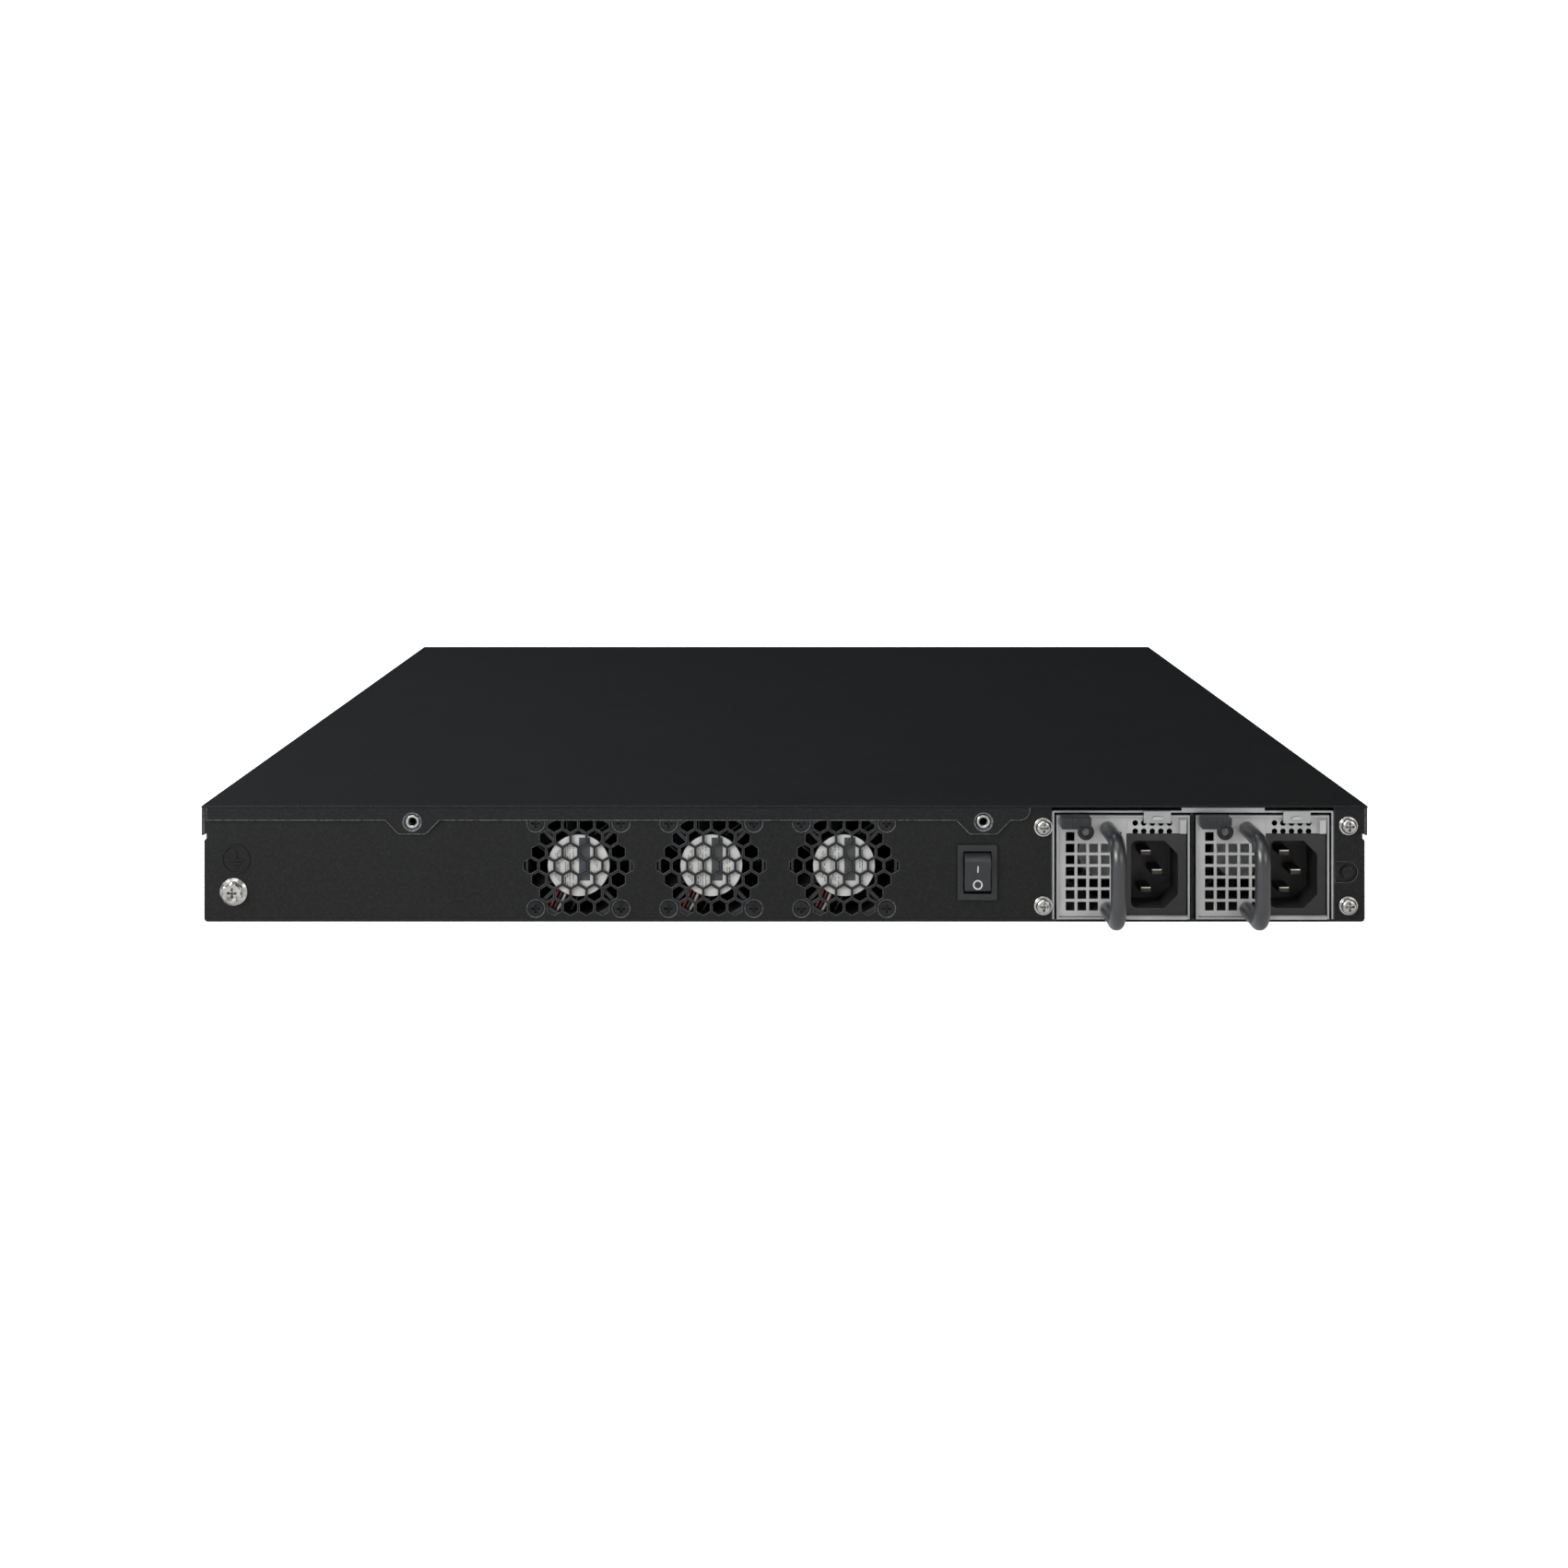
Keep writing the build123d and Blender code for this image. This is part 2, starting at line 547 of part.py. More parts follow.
def backplane_socket(x0):
    """A card-edge socket for one supply."""
    middle = x0 + PSU_W / 2
    y1 = CAGE_END - 2.0
    half = SOCKET_HALF_W
    socket = block(middle - half, middle + half, y1 - SOCKET_D, y1, 2.4, 9.4)
    slot = block(middle - half + 2.0, middle + half - 2.0, y1 - SOCKET_D, y1 - 1.0, 4.7, 6.9)
    return socket - slot


def power_harness():
    """The bundled lead from the backplane down to the board."""
    x, z = 153.2, 26.0
    points = ((x, CAGE_END - 0.4, z), (x, -18.0, z), (x, -18.0, BOARD_TOP + 6.0))
    path = FilletPolyline(*points, radius=9.0)
    section = Plane(origin=path @ 0, z_dir=path % 0) * Circle(3.6)
    return sweep(section, path=path)


save("psu_cage", psu_cage())
save("psu_cage_divider", block(*DIVIDER_X, REAR + 0.5, CAGE_END - 2.0, FLOOR, CAGE_TOP - CAGE_SHEET))
save_group("psu_cage_screws", [cage_screw(x, z) for x, z in CAGE_SCREWS])
save("locating_stud", locating_stud())
save("psu_backplane", psu_backplane())
save_group("backplane_sockets", [backplane_socket(x) for x in PSU_X.values()])
save("power_harness", power_harness())

# ---------------------------------------------------------------- power supplies
PSU_END = PSU_LIP + PSU_LENGTH
INLET_X, INLET_Z = (26.3, 48.9), (2.5, 33.2)
RECESS_X, RECESS_Z, RECESS_D = (28.1, 45.6), (5.35, 30.45), 16.5
HANDLE_X, HANDLE_Z, HANDLE_R, HANDLE_REACH = 19.2, (4.9, 35.0), 2.85, 28.0
LED_X, LED_Z, LED_R = 11.1, 33.8, 3.1
PERF_X, PERF_Z, PERF_R = tuple(29.7 + 3.2 * n for n in range(5)), (34.0, 37.1), 1.05
PIN_X, EARTH_X, PIN_Z = 34.5, 38.5, 17.9


def grille_holes():
    """Square vents in seven rows; the top and bottom rows leave room for lamp and handle."""
    columns = [5.2 + GRILLE_PITCH_X * n for n in range(5)]
    rows = [32.1 - GRILLE_PITCH_Z * n for n in range(7)]
    missing = [(0, 1), (0, 2), (0, 3), (6, 3)]
    return [
        Pos(x, z) * Rectangle(GRILLE_HOLE, GRILLE_HOLE)
        for r, z in enumerate(rows)
        for c, x in enumerate(columns)
        if (r, c) not in missing
    ]


def psu_case():
    """A four-sided sleeve with a closed inner end, and a small tab over its front edge."""
    t = PSU_SHEET
    sleeve = block(0, PSU_W, PSU_LIP, PSU_END, PSU_Z0, PSU_Z1)
    sleeve -= block(t, PSU_W - t, PSU_LIP, PSU_END - t, PSU_Z0 + t, PSU_Z1 - t)
    sleeve -= block(9.5, 40.5, PSU_END - t, PSU_END, 3.5, 8.0)
    for n in range(6):
        sleeve -= block(8.0, 42.0, PSU_END - t, PSU_END, 12.0 + 4.2 * n, 14.2 + 4.2 * n)
    sleeve -= block(0, t, -235.0, -230.0, 32.4, 37.4)
    sleeve += block(32.6, 42.8, PSU_LIP - 0.8, PSU_LIP + 0.1, 37.4, CAGE_TOP + 0.1)
    return sleeve


def psu_faceplate():
    """The plated front, cut around the inlet, handle, lamp and latch."""
    t = PSU_SHEET + 0.05
    outline = rectangle(t, PSU_W - t, PSU_Z0 + t, PSU_Z1 - t)
    outline -= grille_holes()
    outline -= rectangle(INLET_X[0], PSU_W, *INLET_Z)
    outline -= rectangle(1.8, 11.8, 37.2, PSU_Z1)
    outline -= Pos(LED_X, LED_Z) * Circle(LED_R - 0.6)
    outline -= [Pos(HANDLE_X, z) * Circle(2.1) for z in HANDLE_Z]
    outline -= [Pos(x, z) * Circle(PERF_R) for x in PERF_X for z in PERF_Z]
    plate = sheet_y(outline, PSU_FACE, PSU_SHEET)
    return plate - block(INLET_X[0], 46.2, PSU_FACE, PSU_FACE + 0.3, INLET_Z[1], PSU_Z1)


def psu_handle():
    """A bent pull handle, standing out from the front, with two root studs."""
    out = PSU_FACE - HANDLE_REACH
    low, high = HANDLE_Z
    x = HANDLE_X
    points = ((x, PSU_FACE, low), (x, out, low), (x, out, high), (x, PSU_FACE, high))
    path = FilletPolyline(*points, radius=8.0)
    section = Plane(origin=path @ 0, z_dir=path % 0) * Circle(HANDLE_R)
    handle = sweep(section, path=path)
    for z in HANDLE_Z:
        handle += rod_y(x, z, 2.0, PSU_FACE - 1.0, PSU_FACE + 4.0)
    return handle


def psu_latch():
    """The release tab with its arm and the catch that stands in the sleeve's window."""
    out, near = PSU_LIP - 6.6, PSU_LIP - 0.4
    tab = block(1.2, 8.0, out, near, 36.2, 40.4) + block(7.9, 12.2, out, near, 37.5, 40.4)
    stem = block(3.0, 8.0, near - 0.5, -246.0, 37.6, 39.2)
    arm = block(3.0, 4.4, -247.5, -230.5, 30.0, 39.2)
    catch = block(0.3, 3.5, -234.5, -231.0, 33.0, 36.8)
    return tab + stem + arm + catch


def psu_inlet():
    """An appliance inlet body with its keyed recess."""
    x0, x1 = RECESS_X
    z0, z1 = RECESS_Z
    cut = 5.0
    keyed = polygon(
        (x0, z0), (x1 - cut, z0), (x1, z0 + cut), (x1, z1 - cut), (x1 - cut, z1), (x0, z1)
    )
    left = keyed.vertices().filter_by(lambda v: v.X < x0 + 0.1)
    recess = fillet(left, 2.2)
    body = block(*INLET_X, PSU_FACE, PSU_FACE + 22.0, *INLET_Z)
    return body - sheet_y(recess, PSU_FACE, RECESS_D)


def inlet_pins():
    """Line, neutral and the longer earth blade."""
    floor = PSU_FACE + RECESS_D
    pins = []
    for x, z, tip in (
        (PIN_X, PIN_Z - 7.0, 5.6),
        (PIN_X, PIN_Z + 7.0, 5.6),
        (EARTH_X, PIN_Z, 4.4),
    ):
        blade = block(x - 2.0, x + 2.0, PSU_FACE + tip, floor, z - 1.0, z + 1.0)
        ends = blade.edges().filter_by(Axis.X).group_by(Axis.Y)[0]
        pins.append(chamfer(ends, 0.5))
    return pins


def psu_lamp():
    """The status lamp's bezel ring and its lens."""
    ring = rod_y(LED_X, LED_Z, LED_R, PSU_FACE - 0.5, PSU_FACE)
    ring += rod_y(LED_X, LED_Z, LED_R - 0.7, PSU_FACE, PSU_FACE + 5.0)
    bore = rod_y(LED_X, LED_Z, 1.55, PSU_FACE - 1.0, PSU_FACE + 6.0)
    lens = rod_y(LED_X, LED_Z, 1.5, PSU_FACE - 0.3, PSU_FACE + 5.0)
    return [ring - bore, lens]


PSU_FAN_X, PSU_FAN_Z = 21.2, 20.7
PSU_FAN_Y = PSU_FACE + 25.0


def psu_board():
    """The converter's board with its card edge, and what stands on it."""
    y0, y1 = PSU_FAN_Y + PSU_FAN_DEPTH + 2.0, PSU_END - PSU_SHEET - 1.0
    z = PSU_BOARD_Z
    board = block(3.0, 47.0, y0, y1, z, z + BOARD_T)
    edge = SOCKET_HALF_W - 3.0
    middle = PSU_W / 2
    board += block(middle - edge, middle + edge, y1, PSU_END + 4.0, z, z + BOARD_T)
    top = z + BOARD_T
    pieces = [board]
    for n in range(2):
        y = y0 + 14.0 + 21.0 * n
        pieces.append(Pos(13.0, y, top + 12.5) * Cylinder(8.5, 25.0))
    pieces.append(block(26.0, 45.0, y0 + 8.0, y0 + 42.0, top, top + 22.0))
    for x in (8.0, 41.0):
        pieces.append(block(x, x + 2.5, y0 + 52.0, y1 - 12.0, top, top + 26.0))
    pieces.append(block(15.0, 36.0, y0 + 55.0, y1 - 16.0, top, top + 18.0))
    return pieces


for psu, psu_x in PSU_X.items():
    at = Pos(psu_x, 0, 0)
    fan_place = (PSU_FAN_X, PSU_FAN_Z, PSU_FAN_Y, PSU_FAN_DEPTH, PSU_FAN_BORE_R, PSU_HUB_R)
    save(f"{psu}_case", at * psu_case())
    save(f"{psu}_faceplate", at * psu_faceplate())
    save(f"{psu}_handle", at * psu_handle())
    save(f"{psu}_latch", at * psu_latch())
    save(f"{psu}_inlet", at * psu_inlet())
    save_group(f"{psu}_inlet_pins", [at * pin for pin in inlet_pins()])
    save_group(f"{psu}_lamp", [at * piece for piece in psu_lamp()])
    save_group(f"{psu}_board", [at * piece for piece in psu_board()])
    save(f"{psu}_fan_frame", at * fan_frame(*fan_place))
    save(f"{psu}_fan_rotor", at * fan_rotor(*fan_place))

# ---------------------------------------------------------------- board and ports
CHIPS = {"switch": (-20.0, 60.0, 17.5), "processor": (-130.0, 60.0, 15.0)}
CHIP_T = 2.6
SINK_HALF, SINK_TOP = 30.0, 36.0
BOARD_X, BOARD_Y = (-206.0, 206.0), (-36.0, FRONT - 3.0)
BOARD_TAIL_X, BOARD_TAIL_Y = 92.0, -204.0


def main_board():
    """The switching board, with a tail that runs back beside the supplies."""
    board = block(*BOARD_X, *BOARD_Y, BOARD_Z, BOARD_TOP)
    board += block(BOARD_X[0], BOARD_TAIL_X, BOARD_TAIL_Y, BOARD_Y[0] + 1.0, BOARD_Z, BOARD_TOP)
    return board - [Pos(x, y, BOARD_Z) * Cylinder(1.7, 8.0) for x, y in STANDOFF_XY]


def standoffs():
    """Hexagonal pillars between floor and board."""
    pillar = extrude(RegularPolygon(2.75, 6, major_radius=False), amount=BOARD_Z - FLOOR)
    pillar -= Pos(0, 0, BOARD_Z - FLOOR - 2.5) * Cylinder(1.5, 5.2)
    return [Pos(x, y, FLOOR) * pillar for x, y in STANDOFF_XY]


def board_screw(x, y):
    """A pan-head screw down through the board."""
    head = Pos(x, y, BOARD_TOP + 0.9) * Cylinder(2.8, 1.8)
    shank = Pos(x, y, BOARD_TOP - 1.4) * Cylinder(1.45, 3.2)
    slot = block(x - 1.6, x + 1.6, y - 0.4, y + 0.4, BOARD_TOP + 0.9, BOARD_TOP + 2.0)
    return head + shank - slot - Pos(x, y, 0) * (Rot(0, 0, 90) * (Pos(-x, -y, 0) * slot))


def chip(x, y, half):
    """One flat square chip package."""
    return block(x - half, x + half, y - half, y + half, BOARD_TOP, BOARD_TOP + CHIP_T)


def heatsink(x, y):
    """A finned block on one chip."""
    base = BOARD_TOP + CHIP_T
    sink = block(x - SINK_HALF, x + SINK_HALF, y - SINK_HALF, y + SINK_HALF, base, base + 4.0)
    fins = 13
    for n in range(fins):
        fx = x - SINK_HALF + 0.6 + n * (2 * SINK_HALF - 1.2) / (fins - 1)
        sink += block(fx - 0.6, fx + 0.6, y - SINK_HALF, y + SINK_HALF, base + 3.5, SINK_TOP)
    return sink


def memory_module():
    """A memory card standing in its slot."""
    x0, x1, y = -200.0, -67.0, 130.0
    slot = block(x0, x1, y - 3.5, y + 3.5, BOARD_TOP, BOARD_TOP + 6.5)
    slot -= block(x0 + 2.0, x1 - 2.0, y - 0.75, y + 0.75, BOARD_TOP + 2.0, BOARD_TOP + 7.0)
    card = block(x0 + 2.5, x1 - 2.5, y - 0.65, y + 0.65, BOARD_TOP + 2.0, UNDER_COVER - 4.0)
    return [slot, card]


def capacitors():
    """Upright capacitors in two rows near the power input."""
    places = [(100.0 + 11.0 * n, 8.0 + 12.0 * row) for n in range(8) for row in range(2)]
    return [Pos(x, y, BOARD_TOP + 6.0) * Cylinder(4.0, 12.0) for x, y in places]


def headers():
    """Lead headers for the fans, and the power connector."""
    y = LEAD_OUT
    pieces = [block(x - 4, x + 4, y - 3, y + 3, BOARD_TOP, HEADER_Z) for x in LEAD_X]
    pieces.append(block(141.0, 165.4, -23.0, -13.0, BOARD_TOP, BOARD_TOP + 6.0))
    return pieces


def jack_block(x):
    """Eight network jacks in one shielded block, two rows of four."""
    half = 2 * JACK_PITCH
    shape = block(x - half, x + half, FRONT - JACK_BLOCK_D, FRONT, BOARD_TOP, BOARD_TOP + JACK_BLOCK_H)
    for z in JACK_ROWS_Z:
        for n in range(4):
            jack_x = x + (n - 1.5) * JACK_PITCH
            shape -= jack_cavity(jack_x, z)
    return shape


def jack_cavity(x, z):
    """The plug space of one jack."""
    half_w, half_h = JACK_W / 2, JACK_H / 2
    return block(x - half_w, x + half_w, FRONT - JACK_D, FRONT, z - half_h, z + half_h)


def console_port():
    """A single jack for the management console."""
    half = JACK_PITCH / 2
    limits = (CONSOLE_X - half, CONSOLE_X + half, FRONT - JACK_BLOCK_D, FRONT)
    shape = block(*limits, BOARD_TOP, BOARD_TOP + CONSOLE_H)
    return shape - jack_cavity(CONSOLE_X, JACK_ROWS_Z[0])


def sfp_cage(x):
    """A stamped cage for one pluggable module, open at the front."""
    half, t = SFP_W / 2, SFP_SHEET
    cage = block(x - half, x + half, FRONT - SFP_D, FRONT + 0.6, BOARD_TOP, BOARD_TOP + SFP_H)
    return cage - block(
        x - half + t, x + half - t, FRONT - SFP_D + t, FRONT + 0.6, BOARD_TOP + t, BOARD_TOP + SFP_H - t
    )


def light_pipes():
    """Four clear rods that carry the status lamps' light to the front."""
    return [rod_y(LIGHT_X, z, 1.4, FRONT - 10.0, FRONT + 0.3) for z in LIGHT_Z]


save("main_board", main_board())
save_group("board_standoffs", standoffs())
save_group("board_screws", [board_screw(x, y) for x, y in STANDOFF_XY])
save_group("board_chips", [chip(*place) for place in CHIPS.values()])
for chip_name, (chip_x, chip_y, _) in CHIPS.items():
    save(f"{chip_name}_heatsink", heatsink(chip_x, chip_y))
save_group("memory_module", memory_module())
save_group("board_capacitors", capacitors())
save_group("board_headers", headers())
for block_name, block_x in JACK_BLOCK_X.items():
    save(block_name, jack_block(block_x))
save_group("sfp_cages", [sfp_cage(x) for x in SFP_X])
save("console_port", console_port())
save_group("status_light_pipes", light_pipes())
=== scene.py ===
"""The looks of a one-rack-unit network switch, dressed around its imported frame.

Sizes are in millimetres and become metres when a piece is finished. +Z is up, -Y is the side
with the fans, the rocker switch and the power supplies, and +Y is the port side.
"""

import json
import logging
import math
import random
from collections.abc import Callable, Iterable, Sequence
from dataclasses import dataclass, field, replace
from enum import Enum
from functools import cache
from typing import NamedTuple

import bmesh
import bpy
from mathutils import Matrix, Vector


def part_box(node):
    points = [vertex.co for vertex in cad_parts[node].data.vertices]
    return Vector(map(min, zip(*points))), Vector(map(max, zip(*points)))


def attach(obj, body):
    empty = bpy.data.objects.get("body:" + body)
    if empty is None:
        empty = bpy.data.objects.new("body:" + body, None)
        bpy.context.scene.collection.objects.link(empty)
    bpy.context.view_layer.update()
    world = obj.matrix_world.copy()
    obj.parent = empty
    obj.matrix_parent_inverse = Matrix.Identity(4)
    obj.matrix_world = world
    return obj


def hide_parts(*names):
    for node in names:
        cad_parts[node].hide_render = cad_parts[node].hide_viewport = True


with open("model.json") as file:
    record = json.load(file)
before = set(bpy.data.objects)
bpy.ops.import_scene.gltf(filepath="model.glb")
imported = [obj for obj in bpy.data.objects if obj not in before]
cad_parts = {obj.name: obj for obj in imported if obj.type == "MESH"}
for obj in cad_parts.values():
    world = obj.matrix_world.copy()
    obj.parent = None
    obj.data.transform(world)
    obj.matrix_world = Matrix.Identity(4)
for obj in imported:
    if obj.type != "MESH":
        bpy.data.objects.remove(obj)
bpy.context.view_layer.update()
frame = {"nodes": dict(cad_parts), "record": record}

LOG = logging.getLogger("network_switch")
MM = 0.001  # metres in a millimetre
PER_METRE = 1000.0  # millimetres in a metre
MERGE = 2e-6  # corners of the frame's triangles nearer than this, in metres, are one
FLAT_TURN = math.radians(0.5)  # faces that turn less than this lie flat
EDGE_TURN = math.radians(32.0)  # faces that turn more than this meet in an edge
RING_STEPS = 64  # corners in each ring of a skinned part
ROOT = -0.3  # how deep a raised detail is rooted in its sheet

Tree, Socket, Mesh = bpy.types.NodeTree, bpy.types.NodeSocket, bmesh.types.BMesh
Point = tuple[float, float, float]
Profile = Sequence[tuple[float, float]]
Reach = Callable[[float], float]
Rings = list[tuple[float, float | Reach]]


class Way(Enum):
    """The side that a part faces."""

    REAR = (0.0, -1.0, 0.0)
    PORT = (0.0, 1.0, 0.0)
    LEFT = (-1.0, 0.0, 0.0)
    RIGHT = (1.0, 0.0, 0.0)

    def seat(self, x: float, y: float, z: float) -> Matrix:
        """Stands a part, made along its own +Z, at a place on this side.

        Args:
            x, y, z: the place, in millimetres.

        Returns:
            The matrix that puts the part there.
        """
        out, up = Vector(self.value), Vector((0.0, 0.0, 1.0))
        turn = Matrix((up.cross(out), up, out)).transposed().to_4x4()
        return Matrix.Translation((x, y, z)) @ turn


# ---------------------------------------------------------------- finishes
def linear(code: str) -> tuple[float, float, float, float]:
    """Turns an sRGB hex value to linear light.

    Args:
        code: a colour such as #1A2B3C.

    Returns:
        Red, green, blue and an alpha of 1.
    """
    parts = [int(code[n : n + 2], 16) / 255 for n in (1, 3, 5)]
    light = [p / 12.92 if p <= 0.04045 else ((p + 0.055) / 1.055) ** 2.4 for p in parts]
    return (*light, 1.0)


def add_node(tree: Tree, kind: str, inputs: dict, **settings: object) -> bpy.types.Node:
    """Adds a shader node with its settings and links.

    Args:
        tree: the material's or the world's node tree.
        kind: the node's type, without its ShaderNode prefix.
        inputs: a value, or a socket to link, for each input by its name or number.
        settings: the node's own properties.

    Returns:
        The new node.
    """
    node = tree.nodes.new(f"ShaderNode{kind}")
    for key, value in settings.items():
        setattr(node, key, value)
    for key, value in inputs.items():
        if isinstance(value, Socket):
            tree.links.new(value, node.inputs[key])
        else:
            node.inputs[key].default_value = value
    return node


def blend_colours(tree: Tree, share: Socket, first: object, second: object) -> Socket:
    """Mixes two colours, each a value or a socket, by how much of the second shows."""
    return add_node(tree, "Mix", {0: share, 6: first, 7: second}, data_type="RGBA").outputs[2]


def remap(tree: Tree, value: Socket, span: tuple[float, float], to: tuple[float, float]) -> Socket:
    """Stretches a span of values onto another, and clamps it there."""
    ends = {"From Min": span[0], "From Max": span[1], "To Min": to[0], "To Max": to[1]}
    return add_node(tree, "MapRange", {"Value": value, **ends}).outputs["Result"]


@dataclass(frozen=True)
class Finish:
    """A surface: what it is made of and how it was made. Lengths are in millimetres."""

    name: str
    slot: str
    colour: str
    shade: str
    roughness: float
    metallic: float = 0.0
    specular: float = 0.5
    mottle_mm: float = 14.0
    grain_mm: float = 0.9
    depth_mm: float = 0.02
    swing: float = 0.06
    # the colour of a painted highlight on the rounded edges; empty for none
    wear_and_highlight: str = ""

    def noise(self, tree: Tree, place: Socket, size_mm: float, detail: float = 2.0) -> Socket:
        """Cloudy noise with features of a real size, and so many finer layers over them."""
        inputs = {"Vector": place, "Scale": PER_METRE / size_mm, "Detail": detail, "Roughness": 0.55}
        return add_node(tree, "TexNoise", inputs).outputs["Fac"]

    def paint(self, tree: Tree, place: Socket) -> Socket:
        """The surface's colour: two near tones in soft clouds."""
        cloud = remap(tree, self.noise(tree, place, self.mottle_mm), (0.35, 0.65), (0.0, 1.0))
        return blend_colours(tree, cloud, linear(self.colour), linear(self.shade))

    def relief(self, tree: Tree, place: Socket) -> Socket:
        """The surface's height, from 0 to 1."""
        return self.noise(tree, place, self.grain_mm)

    def settle(self, shader: bpy.types.Node) -> None:
        """Sets the plain values that only this kind of surface has."""

    def material(self) -> bpy.types.Material:
        """The material, made once for each finish."""
        return made_material(self)

    def edge(self) -> "Finish":
        """The same finish in a paler colour on its rounded edges, a painted highlight."""
        return replace(self, name=f"{self.name}_edge", colour=self.wear_and_highlight, shade=self.wear_and_highlight, wear_and_highlight="")


@cache
def made_material(finish: Finish) -> bpy.types.Material:
    """Builds a finish's node tree.

    Args:
        finish: the finish.

    Returns:
        Its material.
    """
    material = bpy.data.materials.new(finish.name)
    material.use_nodes = True
    tree = material.node_tree
    shader = tree.nodes["Principled BSDF"]
    place = add_node(tree, "TexCoord", {}).outputs["Object"]
    tree.links.new(finish.paint(tree, place), shader.inputs["Base Color"])
    # soft patches of wear, which vary only the roughness
    wear_and_highlight = finish.noise(tree, place, finish.mottle_mm * 0.6, 4.0)
    low, high = finish.roughness - finish.swing, finish.roughness + finish.swing
    tree.links.new(remap(tree, wear_and_highlight, (0.3, 0.7), (low, high)), shader.inputs["Roughness"])
    height = {"Height": finish.relief(tree, place), "Distance": finish.depth_mm * MM, "Strength": 1.0}
    tree.links.new(add_node(tree, "Bump", height).outputs["Normal"], shader.inputs["Normal"])
    shader.inputs["Metallic"].default_value = finish.metallic
    shader.inputs["Specular IOR Level"].default_value = finish.specular
    finish.settle(shader)
    return material


@dataclass(frozen=True)
class PowderCoat(Finish):
    """Baked epoxy powder on steel: a fine pebbled skin, with the sparkle of a few grains painted as pale
    specks.
    """

    pebble: str = "#19191A"
    pebble_mm: float = 0.75
    # the colour and size of the painted glints
    glint_colour: str = "#3D3E40"
    glint_mm: float = 0.5

    def paint(self, tree: Tree, place: Socket) -> Socket:
        """The coat's black, finely pebbled, with sparse pale specks painted in as glints.

        Args:
            tree: the node tree.
            place: the coordinates to read.

        Returns:
            The colour's socket.
        """
        pebbles = remap(tree, self.noise(tree, place, self.pebble_mm, 1.0), (0.42, 0.68), (0.0, 0.8))
        base = blend_colours(tree, pebbles, super().paint(tree, place), linear(self.pebble))
        # pale specks: real flakes, with their sparkle painted in as colour
        painted_glints = remap(tree, self.noise(tree, place, self.glint_mm, 0.0), (0.79, 0.90), (0.0, 1.0))
        return blend_colours(tree, painted_glints, base, linear(self.glint_colour))

    def relief(self, tree: Tree, place: Socket) -> Socket:
        """Pebbles of the powder's size, over the slower waves of the flow.

        Args:
            tree: the node tree.
            place: the coordinates to read.

        Returns:
            The height's socket.
        """
        pebbles = {"Vector": place, "Scale": PER_METRE / self.grain_mm}
        cells = add_node(tree, "TexVoronoi", pebbles, feature="SMOOTH_F1").outputs["Distance"]
        flow = self.noise(tree, place, self.grain_mm * 4.0)
        both = {0: cells, 1: 0.6, 2: flow}
        return add_node(tree, "Math", both, operation="MULTIPLY_ADD").outputs[0]


@dataclass(frozen=True)
class RolledSheet(Finish):
    """Plated sheet metal: faint streaks along the rolling direction and soft dull patches."""

    streak: float = 12.0

    def relief(self, tree: Tree, place: Socket) -> Socket:
        """Streaks many times longer than they are wide, with a fine grain across them.

        Args:
            tree: the node tree.
            place: the coordinates to read.

        Returns:
            The height's socket.
        """
        pulled = add_node(tree, "Mapping", {"Vector": place, "Scale": (1.0 / self.streak, 1.0, 1.0)})
        streaks = self.noise(tree, pulled.outputs["Vector"], self.grain_mm)
        grain = self.noise(tree, place, self.grain_mm * 0.7)
        return add_node(tree, "Math", {0: streaks, 1: grain}, operation="ADD").outputs[0]


@dataclass(frozen=True)
class Laminate(Finish):
    """Solder mask over copper traces: green lacquer with slightly raised, paler lines."""

    trace_mm: float = 2.4
    copper: str = "#2E7A4B"

    def traces(self, tree: Tree, place: Socket) -> Socket:
        """Straight runs of copper that step aside, from 0 to 1.

        Args:
            tree: the node tree.
            place: the coordinates to read.

        Returns:
            The share's socket.
        """
        lines = {"Mortar Size": 0.022, "Mortar Smooth": 0.1, "Brick Width": 1.4, "Row Height": 0.14}
        inputs = {"Vector": place, "Scale": PER_METRE / (self.trace_mm * 8.0), **lines}
        return add_node(tree, "TexBrick", inputs, offset=0.37, squash=0.6).outputs["Fac"]

    def paint(self, tree: Tree, place: Socket) -> Socket:
        """The mask's green, paler over copper."""
        base = super().paint(tree, place)
        return blend_colours(tree, self.traces(tree, place), base, linear(self.copper))

    def relief(self, tree: Tree, place: Socket) -> Socket:
        """Raised traces."""
        return self.traces(tree, place)


@dataclass(frozen=True)
class Clear(Finish):
    """Polished clear plastic: light passes, with a bright rim."""

    index: float = 1.49
    clearness: float = 0.85

    def settle(self, shader: bpy.types.Node) -> None:
        """Lets light through at the plastic's own index."""
        shader.inputs["IOR"].default_value = self.index
        shader.inputs["Transmission Weight"].default_value = self.clearness


# the grain of plating on smooth metal, as wide as it must be to show
FINE_GRAIN = {"grain_mm": 0.6, "depth_mm": 0.006}
# black polyester powder on steel: matt, with a slight sparkle painted as pale specks; its pebbles are about
# 0.3 mm across in life and are drawn at twice that or more, or they wouldn't show
# its rounded edges take a paler colour, a painted edge highlight
CASE_COAT = PowderCoat(
    "black_powder_coat", "powder_coat_black", "#0B0C0D", "#0E0F0F", 0.56, specular=0.22, mottle_mm=45.0,
    grain_mm=1.0, depth_mm=0.03, swing=0.01, wear_and_highlight="#4A4C4F",
)
# the same coat on the cover, with a brighter painted highlight on its rounded edges, the flange's edge among
# them
COVER_COAT = replace(CASE_COAT, name="black_powder_coat_cover", wear_and_highlight="#6A6D71")
